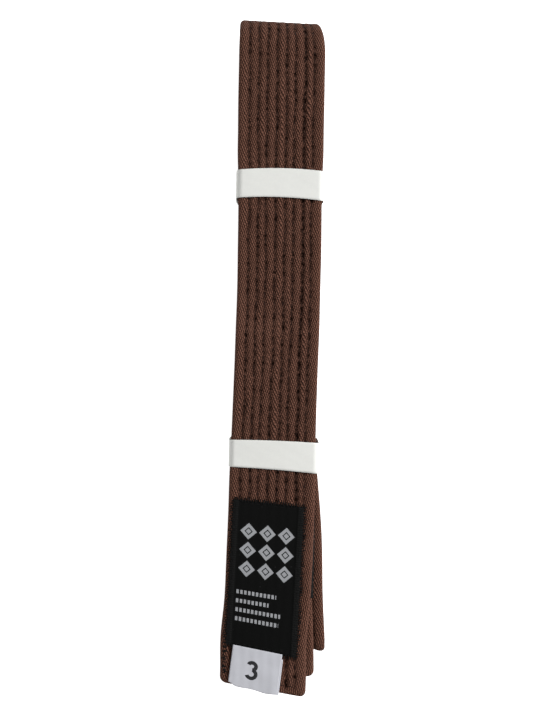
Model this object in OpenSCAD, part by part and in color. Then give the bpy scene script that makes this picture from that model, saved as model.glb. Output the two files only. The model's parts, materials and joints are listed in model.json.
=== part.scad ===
/* [Belt] */
// Width of the belt
belt_w = 42; // [34:0.2:51]
// Thickness of one run of the belt
belt_t = 4.2; // [3.5:0.01:5.4]
// Radius of the belt's long edges
edge_r = 1.6; // [1:0.1:1.7]
// Wall of the twill cover
cover_wall = 0.8; // [0.6:0.05:1]
// Number of canvas plies in the core
ply_count = 3; // [2:1:4]

/* [Stitching] */
// Rows of stitching along the belt
row_count = 8; // [6:1:10]
// From the belt's edge to the first row
row_inset = 5.2; // [4:0.1:6]
// Width of the groove that a row pulls in
groove_w = 1.6; // [1.2:0.1:2]
// Depth of that groove
groove_d = 0.45; // [0.35:0.05:0.5]
// Width of a thread
thread_w = 0.5; // [0.3:0.05:0.6]
// Thickness of a thread
thread_t = 0.25; // [0.15:0.05:0.3]
// Pitch of the stitches
stitch_pitch = 4.4; // [3:0.1:5]

/* [Folding] */
// From the lower band's middle to the top of the bundle
top_reach = 214.2; // [176:0.1:258]
// From the lower band's middle to the tip of the label end
label_end_reach = 113.5; // [94:0.1:140]
// From the lower band's middle to the tip of the rank end
rank_end_reach = 108.5; // [90:1:130]
// From the lower band's middle to the fold of runs three and four
mid_fold_reach = 97.4; // [80:0.2:115]
// From the lower band's middle to the fold of runs five to eight
back_fold_reach = 100; // [84:1:120]
// Gap between two runs
layer_gap = 0.3; // [0.2:0.05:0.6]
// Sideways lean of the label end, in degrees
label_end_fan = -1.2; // [-2:0.1:-0.5]
// Sideways lean of the rank end, in degrees
rank_end_fan = 1.1; // [0.5:0.1:2]
// Sideways lean of the fold of runs three and four, in degrees
mid_fold_fan = 3.4; // [2:0.1:5]
// From the lower band's edge to the line where the label end lifts
hinge_gap = 5; // [3:0.5:8]

/* [Rank sleeve] */
// Length of the rank sleeve
sleeve_l = 100; // [80:1:120]
// From the rank end's tip to the sleeve
sleeve_inset = 38.5; // [30:0.5:50]
// Thickness of the sleeve's fabric
sleeve_t = 0.45; // [0.3:0.01:0.6]

/* [Label] */
// Width of the label
label_w = 34.4; // [28:0.1:36]
// Length of the label
label_l = 71.4; // [55:0.2:80]
// Thickness of the label
label_t = 0.45; // [0.3:0.05:0.7]
// Width of the label's raised edge strips
label_edge_w = 2.6; // [1.5:0.1:4]
// How far the edge strips stand up
label_edge_t = 0.15; // [0.1:0.05:0.3]
// From the label end's tip to the label
label_inset = 19.1; // [16:0.1:26]
// Sideways offset of the label
label_offset = -1.6; // [-3:0.1:3]
// Turn of the label on the belt, in degrees
label_skew = -1.8; // [-3:0.1:3]
// Slant of the label's lower edge, in degrees
label_foot_slant = -8; // [-10:0.5:0]
// Slant of the label's upper edge, in degrees
label_head_slant = -3.5; // [-6:0.5:0]

/* [Size tag] */
// Width of the size tag
tag_w = 24.5; // [18:0.5:30]
// From the tag's sewn edge to its fold
tag_l = 18.2; // [12:0.2:22]
// Thickness of one ply of the tag
tag_ply = 0.35; // [0.25:0.05:0.5]
// Gap between the tag's two plies
tag_slot = 0.3; // [0.2:0.05:0.5]
// Sideways offset of the tag from the label's middle
tag_offset = -1.5; // [-4:0.1:4]

/* [Paper bands] */
// Width of a band along the belt
band_w = 14; // [10:0.5:20]
// Thickness of the paper
band_t = 0.25; // [0.15:0.05:0.4]
// Clearance of a band round the bundle
band_clear = 0.3; // [0.2:0.05:0.6]
// Overlap of a band's two ends
band_overlap = 16; // [10:1:24]
// From the lower band's middle to the upper band's middle
band_spacing = 132.8; // [110:1:160]
// Thickness of the glue in the overlap
glue_t = 0.08; // [0.05:0.01:0.15]

/* [Hidden] */
$fn = 48;
layers = 8;
corner_steps = 3;
fit_gap = 0.05;
touch_gap = 0.2;
groove_floor = thread_w + 0.2;
glue_margin = 2;
label_lift = fit_gap;
label_stitch_inset = 1.1;
label_stitch_l = 2.4;
tag_clear = thread_t + touch_gap;

layer_pitch = belt_t + layer_gap;
row_pitch = (belt_w - 2 * row_inset) / (row_count - 1);
cavity_w = belt_w - 2 * cover_wall;
cavity_t = belt_t - 2 * cover_wall;
ply_pitch = cavity_t / ply_count;

// The rank sleeve and its stitches need more room above and below run two.
sleeve_room = sleeve_t + thread_t;
bundle_base = band_t + band_clear;
bundle_top = layer_z(1) + belt_t / 2;
fold_y = snap(top_reach - fold_r(1, 8) - belt_t / 2);
hinge_y = -band_w / 2 - hinge_gap;
end_cap = 2.4;
seam_inset = 4;
thread_end = seam_inset + thread_w + 1;
label_end_start = hinge_y - touch_gap;
label_end_l = label_end_reach + label_end_start;
over = 1;
sleeve_bottom = rank_end_reach - sleeve_inset;
sleeve_seam_inset = 2.5;

tag_t = 2 * tag_ply + tag_slot;
tag_axis_drop = touch_gap + tag_t / 2;
tag_axis_rise = tag_clear + tag_t / 2 - label_lift;

band_half_w = belt_w / 2 + sleeve_t + band_clear;
band_inner_h = bundle_top + band_clear - band_t;
band_mid_z = band_t + band_inner_h / 2;

twill = [0.286, 0.204, 0.169];
core_white = [0.86, 0.84, 0.78];
thread_brown = [0.22, 0.15, 0.12];
black = [0.06, 0.06, 0.06];
tag_grey = [0.75, 0.75, 0.78];
paper_white = [0.94, 0.94, 0.93];
glue_amber = [0.85, 0.78, 0.55];

PLIES = [for (i = [1:ply_count]) str("core_ply_", i)];
ROWS = [for (i = [1:row_count]) str("stitch_row_", i)];
END_PLIES = [for (i = [1:ply_count]) str("label_end_ply_", i)];

// Lengths are snapped to a fine grid, so that neighbouring stretches share their corners exactly.
function snap(v) = round(v * 1000) / 1000;
function snap_even(v) = round(v * 500) / 500;

// Height of the middle of a run; run one is on top.
function layer_z(k) = snap_even(
    bundle_base + belt_t / 2 + (layers - k) * layer_pitch + max(0, 3 - k) * sleeve_room);
// Radius and middle height of the fold that joins two runs.
function fold_r(upper, lower) = (layer_z(upper) - layer_z(lower)) / 2;
function fold_z(upper, lower) = (layer_z(upper) + layer_z(lower)) / 2;
// +1 where the belt's front face is up, -1 where its back face is.
function facing(k) = k % 2 == 1 ? 1 : -1;
function row_x(i) = -belt_w / 2 + row_inset + (i - 1) * row_pitch;
// Sideways shift of a leaning run at a distance below the point where it starts to lean.
function shift(fan, reach) = snap(reach * tan(fan));

// ---- Sections of the belt ----
// A section is a list of stations from left to right, each [x, back height, front height].

function station(x, back, front) = [snap(x), snap(back), snap(front)];
function bar(x, w, back, front) = [station(x - w / 2, back, front), station(x + w / 2, back, front)];
// The same section seen from the other face, or from the other end.
function turned(section) = [for (s = section) [s[0], -s[2], -s[1]]];
function mirrored(section) =
    [for (i = [len(section) - 1:-1:0]) [-section[i][0], section[i][1], section[i][2]]];
function faced(section, k) = facing(k) > 0 ? section : turned(section);

function round_edge(w, t) =
    [for (i = [0:corner_steps]) let (a = 90 * i / corner_steps, h = t / 2 - edge_r * (1 - sin(a)))
        station(-w / 2 + edge_r * (1 - cos(a)), -h, h)];
function groove(x) = let (top = belt_t / 2, floor = belt_t / 2 - groove_d)
    [station(x - groove_w / 2, -top, top), station(x - groove_floor / 2, -floor, floor),
     station(x + groove_floor / 2, -floor, floor), station(x + groove_w / 2, -top, top)];
function slab(w, t) = concat(round_edge(w, t), mirrored(round_edge(w, t)));
function belt_section() = concat(
    round_edge(belt_w, belt_t), [for (i = [1:row_count]) each groove(row_x(i))],
    mirrored(round_edge(belt_w, belt_t)));
function cavity_section() = bar(0, cavity_w, -cavity_t / 2, cavity_t / 2);
function ply_section(i) =
    let (y = (i - (ply_count + 1) / 2) * ply_pitch, half = (ply_pitch - fit_gap) / 2)
        bar(0, cavity_w - 2 * fit_gap, y - half, y + half);
// The needle thread lies on the front face and the bobbin thread on the back face.
function needle_section(i) = let (floor = belt_t / 2 - groove_d)
    bar(row_x(i), thread_w, floor, floor + thread_t);
function bobbin_section(i) = turned(needle_section(i));

module rounded(w, h, r) {
    square([w - 2 * r, h], center = true);
    square([w, h - 2 * r], center = true);
    for (x = [-1, 1], y = [-1, 1])
        translate([x * (w / 2 - r), y * (h / 2 - r)]) circle(r);
}

// ---- Sweeps of a section along the folded belt ----

module outline(section) {
    n = len(section);
    polygon(concat(
        [for (s = section) [s[0], s[1]]],
        [for (i = [n - 1:-1:0]) [section[i][0], section[i][2]]]));
}

// Straight stretch from y = top down to y = bottom.
module stretch(top, bottom) {
    translate([0, top, 0]) rotate([90, 0, 0]) linear_extrude(top - bottom) children();
}

// Stretch from the origin to a reach below it, which leans sideways by fan degrees.
// Each cap is a row of four-sided faces, one between each station and the next.
module leaning_stretch(section, reach, fan) {
    n = len(section);
    ends = [[0, 0], [shift(fan, reach), -reach]];
    points = [for (end = ends, face = [1, 2], s = section) [s[0] + end[0], end[1], s[face]]];
    // Points run back and front at the upper end, then back and front at the lower one.
    faces = [for (i = [0:n - 2]) each [
        [i, i + 1, n + i + 1, n + i],
        [2 * n + i + 1, 2 * n + i, 3 * n + i, 3 * n + i + 1],
        [i + 1, i, 2 * n + i, 2 * n + i + 1],
        [n + i, n + i + 1, 3 * n + i + 1, 3 * n + i]]];
    left = [0, n, 3 * n, 2 * n];
    right = [2 * n - 1, n - 1, 3 * n - 1, 4 * n - 1];
    polyhedron(points, concat(faces, [left, right]));
}

module run(section, k, top, bottom) {
    translate([0, 0, layer_z(k)]) stretch(top, bottom) outline(faced(section, k));
}

module leaning_run(section, k, top, reach, fan) {
    run(section, k, top, 0);
    translate([0, 0, layer_z(k)]) leaning_stretch(faced(section, k), snap(reach), fan);
}

// Half-turn fold at the bundle's top that joins two runs.
module top_fold(section, upper, lower) {
    translate([0, 0, fold_z(upper, lower)]) rotate([0, -90, 0]) rotate_extrude(angle = 180)
        translate([fold_r(upper, lower), 0]) rotate(-90) outline(faced(section, upper));
}

module bottom_fold(section, upper, lower) {
    rotate([0, 0, 180]) top_fold(mirrored(section), upper, lower);
}

// A section swept from run one's end at the hinge line to the tip of run two.
// It starts past the hinge line by over, and stops short of the tip by trim.
module along_bundle(section, trim = 0, over = 0) {
    back_y = snap(-back_fold_reach + fold_r(5, 8) + belt_t / 2);
    mid_end = snap(mid_fold_reach - fold_r(3, 4) - belt_t / 2);

    run(section, 1, fold_y, hinge_y - over);
    for (k = [5:8]) run(section, k, fold_y, back_y);
    for (k = [3, 4]) leaning_run(section, k, fold_y, mid_end, mid_fold_fan);
    leaning_run(section, 2, fold_y, rank_end_reach - trim, rank_end_fan);

    for (k = [1:4]) translate([0, fold_y, 0]) top_fold(section, k, layers + 1 - k);
    for (k = [5, 6]) translate([0, back_y, 0]) bottom_fold(section, k, 13 - k);
    translate([shift(mid_fold_fan, mid_end), -mid_end, 0]) bottom_fold(section, 3, 4);
}

// A section swept along the label end, from over above its start to trim short of its tip.
module along_label_end(section, trim = 0, over = 0) {
    translate([0, label_end_start, layer_z(1)]) {
        if (over > 0) stretch(over, 0) outline(section);
        leaning_stretch(section, snap(label_end_l - trim), label_end_fan);
    }
}

// Frames on the middle of each tip, with -Y out of it.
module at_rank_tip() {
    translate([shift(rank_end_fan, rank_end_reach), -rank_end_reach, layer_z(2)]) children();
}

module at_label_tip() {
    translate([shift(label_end_fan, label_end_l), label_end_start - label_end_l, layer_z(1)])
        children();
}

// ---- Stitches ----

// Row of stitches along X, centred, standing on z = 0.
module stitch_line(length, pitch, stitch_l) {
    count = floor((length - stitch_l) / pitch) + 1;
    for (i = [0:count - 1])
        translate([(i - (count - 1) / 2) * pitch, 0, thread_t / 2])
            cube([stitch_l, thread_w, thread_t], center = true);
}

module both_faces(height) {
    translate([0, 0, height]) children();
    mirror([0, 0, 1]) translate([0, 0, height]) children();
}

// Stitches across a tip, one on each flat between the grooves.
module end_seam() {
    flat = row_pitch - groove_w;
    translate([0, seam_inset, 0]) both_faces(belt_t / 2)
        stitch_line(belt_w - row_inset, row_pitch, flat - 2 * fit_gap);
}

// ---- Bundle ----

module cover() {
    color(twill) difference() {
        along_bundle(belt_section());
        along_bundle(cavity_section(), end_cap, over);
    }
}

module core_ply(i) {
    color(core_white) along_bundle(ply_section(i), end_cap + fit_gap);
}

module stitch_row(i) {
    color(thread_brown) {
        along_bundle(needle_section(i), thread_end);
        along_bundle(bobbin_section(i), thread_end);
    }
}

module rank_end_seam() {
    color(thread_brown) at_rank_tip() end_seam();
}

// A slab swept along the part of run two that the sleeve covers, and past it by over.
module along_sleeve(section, over = 0) {
    top = snap(sleeve_l - sleeve_bottom + over);
    translate([0, 0, layer_z(2)]) {
        stretch(top, 0) outline(section);
        leaning_stretch(section, snap(sleeve_bottom + over), rank_end_fan);
    }
}

module rank_sleeve() {
    color(black) difference() {
        along_sleeve(slab(belt_w + 2 * sleeve_t, belt_t + 2 * sleeve_t));
        along_sleeve(slab(belt_w + 2 * fit_gap, belt_t + 2 * fit_gap), over);
    }
}

module rank_sleeve_stitching() {
    seam_l = belt_w - 2 * edge_r;
    color(black) {
        at_rank_tip() translate([0, sleeve_inset + sleeve_seam_inset, 0])
            both_faces(belt_t / 2 + sleeve_t) stitch_line(seam_l, stitch_pitch, label_stitch_l);
        translate([0, sleeve_l - sleeve_bottom - sleeve_seam_inset, layer_z(2)])
            both_faces(belt_t / 2 + sleeve_t) stitch_line(seam_l, stitch_pitch, label_stitch_l);
    }
}

// ---- Label end ----

module label_end_cover() {
    color(twill) difference() {
        along_label_end(belt_section());
        along_label_end(cavity_section(), end_cap, over);
    }
}

module label_end_ply(i) {
    color(core_white) along_label_end(ply_section(i), end_cap + fit_gap);
}

module label_end_rows() {
    color(thread_brown) for (i = [1:row_count]) {
        along_label_end(needle_section(i), thread_end);
        along_label_end(bobbin_section(i), thread_end);
    }
}

module label_end_seam() {
    color(thread_brown) at_label_tip() end_seam();
}

// Frame on the belt's surface at the middle of the label's lower edge.
module at_label() {
    at_label_tip() translate([label_offset, label_inset, belt_t / 2 + label_lift])
        rotate([0, 0, label_skew]) children();
}

// Part of the label between two of its lengthwise lines.
module label_strip(left, right, t) {
    foot = tan(label_foot_slant);
    head = tan(label_head_slant);
    linear_extrude(t) polygon([
        [left, snap(left * foot)], [right, snap(right * foot)],
        [right, snap(label_l + right * head)], [left, snap(label_l + left * head)]]);
}

module label() {
    edge_x = label_w / 2;
    mid_x = edge_x - label_edge_w;
    color(black) at_label() {
        label_strip(-edge_x, -mid_x, label_t + label_edge_t);
        label_strip(-mid_x, mid_x, label_t);
        label_strip(mid_x, edge_x, label_t + label_edge_t);
    }
}

module label_stitching() {
    edge_x = label_w / 2 - label_stitch_inset;
    across = label_w - 2 * label_edge_w - 2 * thread_w;
    foot = tan(label_foot_slant);
    head = tan(label_head_slant);
    color(black) at_label() {
        translate([0, label_stitch_inset, label_t]) rotate([0, 0, label_foot_slant])
            stitch_line(across, stitch_pitch, label_stitch_l);
        translate([0, label_l - label_stitch_inset, label_t]) rotate([0, 0, label_head_slant])
            stitch_line(across, stitch_pitch, label_stitch_l);
        for (x = [-edge_x, edge_x])
            translate([x, (label_l + x * (head + foot)) / 2, label_t + label_edge_t])
                rotate([0, 0, 90]) stitch_line(
                    label_l + x * (head - foot) - 2 * label_stitch_inset, stitch_pitch,
                    label_stitch_l);
    }
}

// ---- Size tag: two plies joined by a fold, round at the sewn edge, along the label's foot ----

module tag_outline() {
    tip = tag_l - tag_t / 2;
    difference() {
        union() {
            circle(tag_t / 2);
            translate([-tip, -tag_t / 2]) square([tip, tag_t]);
            translate([-tip, 0]) circle(tag_t / 2);
        }
        translate([-tip, -tag_slot / 2]) square([tip - tag_t, tag_slot]);
        translate([-tip, 0]) circle(tag_slot / 2);
    }
}

module size_tag() {
    color(tag_grey) at_label() rotate([0, 0, label_foot_slant])
        translate([tag_offset, -tag_axis_drop, tag_axis_rise]) rotate([90, 0, 90])
            linear_extrude(tag_w, center = true) tag_outline();
}

// ---- Paper bands ----

// Loop round the bundle, with its outer end lapped over the inner one at the left side.
module band_section() {
    side = -band_half_w - band_t;
    translate([0, band_mid_z]) {
        difference() {
            rounded(2 * (band_half_w + band_t), band_inner_h + 2 * band_t, edge_r + band_t);
            rounded(2 * band_half_w, band_inner_h, edge_r);
        }
        translate([side - glue_t - band_t, -band_overlap / 2]) square([band_t, band_overlap]);
        translate([side - glue_t - band_t, -band_overlap / 2 - band_t])
            square([glue_t + 2 * band_t, band_t + fit_gap]);
    }
}

module glue_section() {
    side = -band_half_w - band_t;
    translate([side - glue_t, band_mid_z - band_overlap / 2 + glue_margin])
        square([glue_t, band_overlap - 2 * glue_margin]);
}

module band(y) {
    color(paper_white) translate([0, y, 0]) stretch(band_w / 2, -band_w / 2) band_section();
}

module band_glue(y) {
    color(glue_amber) translate([0, y, 0])
        stretch(band_w / 2 - glue_margin, glue_margin - band_w / 2) glue_section();
}

module upper_band() { band(band_spacing); }
module upper_band_glue() { band_glue(band_spacing); }
module lower_band() { band(0); }
module lower_band_glue() { band_glue(0); }

cover();
for (i = [1:ply_count]) core_ply(i);
for (i = [1:row_count]) stitch_row(i);
rank_end_seam();
rank_sleeve();
rank_sleeve_stitching();
label_end_cover();
for (i = [1:ply_count]) label_end_ply(i);
label_end_rows();
label_end_seam();
label();
label_stitching();
size_tag();
upper_band();
upper_band_glue();
lower_band();
lower_band_glue();
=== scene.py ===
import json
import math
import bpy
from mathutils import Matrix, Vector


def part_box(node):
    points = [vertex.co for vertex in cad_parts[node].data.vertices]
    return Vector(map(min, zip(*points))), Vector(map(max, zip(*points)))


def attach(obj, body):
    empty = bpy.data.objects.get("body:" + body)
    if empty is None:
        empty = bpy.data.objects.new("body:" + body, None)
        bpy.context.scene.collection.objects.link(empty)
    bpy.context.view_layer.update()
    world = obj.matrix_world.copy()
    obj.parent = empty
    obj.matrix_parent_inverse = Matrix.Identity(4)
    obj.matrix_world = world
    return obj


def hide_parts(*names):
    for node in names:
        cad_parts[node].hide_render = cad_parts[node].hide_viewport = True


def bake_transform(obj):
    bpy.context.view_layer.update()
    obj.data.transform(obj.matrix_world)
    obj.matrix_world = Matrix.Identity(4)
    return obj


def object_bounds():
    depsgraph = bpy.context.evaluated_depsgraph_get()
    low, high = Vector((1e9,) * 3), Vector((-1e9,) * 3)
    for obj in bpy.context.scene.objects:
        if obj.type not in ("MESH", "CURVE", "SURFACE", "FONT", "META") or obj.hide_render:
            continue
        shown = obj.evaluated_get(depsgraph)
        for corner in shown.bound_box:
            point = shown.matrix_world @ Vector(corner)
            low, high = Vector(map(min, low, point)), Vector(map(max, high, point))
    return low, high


bl_info = {
    "name": "Folded Martial Arts Belt",
    "version": (1, 0, 0),
    "blender": (4, 5, 0),
    "location": "View3D > Sidebar > Belt",
    "description": "Builds a folded cotton belt with its label, size tag, rank sleeve and paper bands",
    "category": "Add Mesh",
}

import bpy
import numpy as np
from bpy.props import FloatProperty, FloatVectorProperty, IntProperty, PointerProperty

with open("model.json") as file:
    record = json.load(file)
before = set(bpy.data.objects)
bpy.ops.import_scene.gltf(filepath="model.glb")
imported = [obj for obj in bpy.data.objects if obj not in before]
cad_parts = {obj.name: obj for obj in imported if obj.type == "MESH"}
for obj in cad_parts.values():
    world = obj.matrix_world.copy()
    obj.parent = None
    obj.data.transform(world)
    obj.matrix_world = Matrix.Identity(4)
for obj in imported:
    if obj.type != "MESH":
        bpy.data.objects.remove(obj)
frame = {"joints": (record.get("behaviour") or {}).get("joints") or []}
CAD_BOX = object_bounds()

MM = 0.001
RUNS = 8
JOINTS = {joint["name"]: joint for joint in frame["joints"]}
LIFT_AXIS = JOINTS["label_end_lift"]["pos_m"]
TAG_AXIS = JOINTS["size_tag_flip"]["pos_m"]
TAG_TURN = JOINTS["size_tag_flip"]["axis"]
COVER_LOW, COVER_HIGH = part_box("cover")
LABEL_END_LOW, LABEL_END_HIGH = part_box("label_end_cover")
UPPER_BAND_Y = (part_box("upper_band")[0].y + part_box("upper_band")[1].y) / 2
LABEL_FOOT_RISE = 0.7 * MM  # from the tag's hinge up to the label's lower edge
CHANNEL_DEPTH = 0.04 * MM  # how far the rows show through the cloth that lies on them
SLEEVE_CLOTH = 0.4 * MM
SLEEVE_SEAM_INSET = 2.5 * MM
INNER_STEP = 3.4 * MM  # from one cross section of the hidden runs to the next

# How far the runs lie off the bundle's axis; the right side is positive.
BUNDLE_BOW, BOW_MIDDLE, BOW_REACH = 1.05 * MM, 0.088, 0.062
LABEL_END_LEAN, LABEL_END_KINK = -2.3 * MM, -0.9 * MM
RANK_END_LEAN, RANK_END_SHIFT = 1.8 * MM, 0.9 * MM
MID_FOLD_LEAN, MID_FOLD_BULGE = 7.4 * MM, 1.3 * MM
BACK_FOLD_LEAN, BACK_FOLD_SPLIT = -0.5 * MM, -0.6
RUN_WANDER, ROW_WANDER, ROW_OFFSET = 0.1 * MM, 0.42 * MM, 0.55 * MM

# Where the bands' pressure on the belt's edges builds up and fades, and the sleeve's.
BAND_PRESS_START, BAND_PRESS_RISE = 15 * MM, 45 * MM
BAND_PRESS_END, BAND_PRESS_FADE = 130 * MM, 20 * MM
SLEEVE_PRESS_END, SLEEVE_PRESS_FADE = 35 * MM, 25 * MM

# Each band's sag down the belt, its bow, its slant, how it flares to the right, and its reach to
# the left and to the right.
BAND_SHAPES = {
    "upper_band": (-0.95 * MM, 1.15 * MM, -0.05 * MM, 0.03, 20.7 * MM, 21.95 * MM),
    "lower_band": (0.15 * MM, 0.4 * MM, -0.8 * MM, 0.07, 21.3 * MM, 22.4 * MM),
}

FLOOR_SIZE = 30.0
FLOOR_GLOW = 0.76
WORLD_LIGHT = 0.36
# Each lamp's name, place, size and power.
LAMPS = (("key", (1.05, 0.45, 0.8), 0.7, 20.0), ("fill", (-0.5, -0.4, 1.3), 1.0, 2.0))
VIEW_DISTANCE = 0.7
VIEW_HEIGHT = 0.485 * 711 * MM
VIEW_MIDDLE = (-4.2 * MM, 48.5 * MM)
VIEW_ROLL = math.radians(1.31)
SENSOR = 36.0


def length(name, text, default):
    """A size in metres that a user may change."""
    return FloatProperty(name=name, description=text, default=default, unit="LENGTH", precision=5)


def angle(name, text, degrees):
    """An angle that a user may change."""
    return FloatProperty(
        name=name, description=text, default=math.radians(degrees), subtype="ANGLE", unit="ROTATION"
    )


def colour(name, text, default):
    """A colour that a user may change."""
    return FloatVectorProperty(
        name=name, description=text, default=default, subtype="COLOR", size=3, min=0, max=1
    )


class BeltSizes(bpy.types.PropertyGroup):
    """Sizes of the belt and of how it is folded."""

    width: length("Width", "Width of the belt", -2 * COVER_LOW.x)
    thickness: length(
        "Thickness", "Thickness of one run", LABEL_END_HIGH.z - LABEL_END_LOW.z
    )
    edge: length("Edge", "Radius of the long edges", 1.9 * MM)
    corner: length("Corner", "Radius of the tips' corners in plan", 3.2 * MM)
    layer_gap: length("Layer Gap", "Gap between two runs", 0.3 * MM)
    row_inset: length("Row Inset", "From the edge to the first row", 5.2 * MM)
    row_count: IntProperty(name="Rows", description="Rows of stitching", default=8)
    stitch_pitch: length("Stitch Pitch", "Pitch of the stitches", 4.4 * MM)
    groove_depth: length("Groove Depth", "How deep a row pulls the cover in", 0.8 * MM)
    groove_reach: length("Groove Reach", "Half the width of a row's groove", 1.35 * MM)
    dimple_depth: length("Dimple Depth", "Extra depth where the needle goes in", 0.45 * MM)
    thread: length("Thread", "Width of the thread", 0.5 * MM)
    back_fold: length("Back Fold", "Reach of the folds of runs five to eight", 100 * MM)
    mid_fold: length("Mid Fold", "Reach of the fold of runs three and four", 97.4 * MM)
    tip_raise: length("Tip Raise", "How far the label end's tip stands up", 2.2 * MM)
    tip_roll: angle("Tip Roll", "Roll of the label end's tip", 2.6)
    tip_slant: angle("Tip Slant", "Slant of the label end's cut", 7)
    pressed: length("Pressed", "How far the bands press each edge in", 0.65 * MM)
    sleeve_press: length("Sleeve Press", "How far the sleeve presses run two's edges in", 1.0 * MM)
    fold_slant: angle("Fold Slant", "Slant of the bundle's folded top", 1.7)
    left_round: length("Left Round", "How far the folded top's left corner is rounded", 3.6 * MM)
    right_pull: length("Right Pull", "How far the folded top's right side pulls in", 5.4 * MM)
    right_reach: length("Right Reach", "Length over which that side pulls in", 20 * MM)


class LabelSizes(bpy.types.PropertyGroup):
    """Sizes of the label and of the size tag."""

    width: length("Width", "Width of the label", 34.4 * MM)
    height: length("Height", "Length of the label along its middle", 71.4 * MM)
    thickness: length("Thickness", "Thickness of the label", 0.42 * MM)
    edge_width: length("Edge Width", "Width of the raised edge strips", 2.6 * MM)
    edge_rise: length("Edge Rise", "How far the edge strips stand up", 0.2 * MM)
    skew: angle("Skew", "Turn of the label on the belt", -1.8)
    foot_slant: angle("Foot Slant", "Slant of the lower edge", -8)
    head_slant: angle("Head Slant", "Slant of the upper edge", -3.5)
    tag_width: length("Tag Width", "Width of the size tag", 24.3 * MM)
    tag_length: length("Tag Length", "From the tag's sewn edge to its fold", 18.4 * MM)
    tag_ply: length("Tag Ply", "Thickness of one ply of the tag", 0.3 * MM)
    tag_offset: length("Tag Offset", "From the label's middle to the tag's", -1.5 * MM)
    tag_lean: angle("Tag Lean", "Lean of the tag's sides on its sewn edge", 3.5)


class BandSizes(bpy.types.PropertyGroup):
    """Sizes of the paper bands."""

    width: length("Width", "Width of a band along the belt", 14 * MM)
    paper: length("Paper", "Thickness of the paper", 0.25 * MM)
    overlap: length("Overlap", "Overlap of the two ends", 16 * MM)
    glue: length("Glue", "Thickness of the glue in the overlap", 0.08 * MM)
    corner: length("Corner", "Radius of the bends at the belt's edges", 2.8 * MM)


class BeltColours(bpy.types.PropertyGroup):
    """Colours of the belt."""

    cover: colour("Cover", "Twill cover", (0.19, 0.089, 0.062))
    # Painted shade in the hollows between the twill's wales, also reached where the random fibre tone
    # is dark; a little darker, it is the grooves' painted shade too.
    cover_shade_and_dark_fibre: colour("Cover Dark", "Between the twill's wales", (0.012, 0.0048, 0.0031))
    thread: colour("Thread", "Stitching of the belt", (0.016, 0.0065, 0.0045))
    black: colour("Black", "Label, its stitches and the rank sleeve", (0.0026, 0.0027, 0.0026))
    silver: colour("Silver", "Motif of the label", (0.42, 0.43, 0.45))
    tag: colour("Tag", "Size tag", (0.585, 0.59, 0.635))
    ink: colour("Ink", "Numeral of the size tag", (0.012, 0.012, 0.014))
    paper: colour("Paper", "Paper bands", (0.80, 0.805, 0.77))
    glue: colour("Glue", "Glue of the bands", (0.6, 0.5, 0.3))


# ---- Meshes ----


def unit(v):
    """The vectors of v at length one."""
    return v / np.linalg.norm(v, axis=-1, keepdims=True)


def smooth(t):
    """Smooth step of t from 0 to 1."""
    t = np.clip(t, 0, 1)
    return t * t * (3 - 2 * t)


def ripple(seed, t, *wavelengths):
    """Gentle unevenness along t, about -1 to 1, the same on every run."""
    draws = np.random.default_rng(seed)
    total = np.zeros(np.shape(t))
    for wavelength in wavelengths:
        phase = draws.uniform(0, 2 * math.pi)
        total = total + np.sin(2 * math.pi * np.asarray(t) / wavelength + phase)
    return total / len(wavelengths)


def scatter(number, row):
    """A number from 0 to 1 that depends only on a stitch's number and its row."""
    mixed = np.sin(number * 12.9898 + row * 78.233) * 43758.5453
    return mixed - np.floor(mixed)


def pull_in(gap, depth, reach):
    """How far an edge is drawn in along a quarter of an ellipse, at a gap from its end."""
    share = np.clip(1 - gap / reach, 0, 1)
    return depth * (1 - np.sqrt(1 - share**2))


def grid_faces(rows, columns, closed):
    """Quads of a grid of points, as indices; a closed grid joins its last column to its first."""
    i = np.arange(rows - 1)[:, None]
    j = np.arange(columns if closed else columns - 1)[None, :]
    k = (j + 1) % columns
    low, high = i * columns, (i + 1) * columns
    return np.stack([low + j, low + k, high + k, high + j], axis=-1).reshape(-1, 4)


def sheet_faces(rows, columns):
    """Quads of a closed sheet: a grid, the same grid's other side after it, and the wall between."""
    count = rows * columns
    faces = grid_faces(rows, columns, False)
    rim = np.concatenate([
        np.arange(columns), (np.arange(1, rows) + 1) * columns - 1,
        (rows - 1) * columns + np.arange(columns - 2, -1, -1),
        np.arange(rows - 2, 0, -1) * columns,
    ])
    after = np.roll(rim, -1)
    wall = np.stack([rim + count, after + count, after, rim], axis=1)
    return np.concatenate([faces, faces[:, ::-1] + count, wall])


def mesh_object(name, points, faces, uv=None, groove_shade=None):
    """A smooth object from numpy arrays; uv is one pair per face corner."""
    mesh = bpy.data.meshes.new(name)
    mesh.from_pydata(points.reshape(-1, 3).tolist(), [], faces.tolist())
    if uv is not None:
        layer = mesh.uv_layers.new(name="UVMap")
        layer.data.foreach_set("uv", uv.astype(np.float32).ravel())
    if groove_shade is not None:
        # Per-point amount of painted shade for the grooves and dimples, which the cover material reads.
        attribute = mesh.attributes.new("groove_shade", "FLOAT", "POINT")
        attribute.data.foreach_set("value", groove_shade.astype(np.float32).ravel())
    mesh.shade_smooth()
    mesh.validate()
    piece = bpy.data.objects.new(name, mesh)
    bpy.context.scene.collection.objects.link(piece)
    return piece


def corner_uv(faces, columns, u, v):
    """UV of each face corner of a closed grid, with u growing past the join and not back to zero."""
    row, column = faces // columns, faces % columns
    wraps = (column == 0) & (column.max(axis=1, keepdims=True) == columns - 1)
    return np.stack([np.where(wraps, u[columns], u[column]), v[row]], axis=-1)


def finish_piece(piece, material, body):
    """Gives a finished piece its material and slot, and lets it ride on its body."""
    piece.data.materials.clear()
    piece.data.materials.append(material)
    if body:
        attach(piece, body)
    return piece


# ---- The belt's own shape ----


def row_pitch(sizes):
    """From one row of stitching to the next."""
    return (sizes.width - 2 * sizes.row_inset) / (sizes.row_count - 1)


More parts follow.
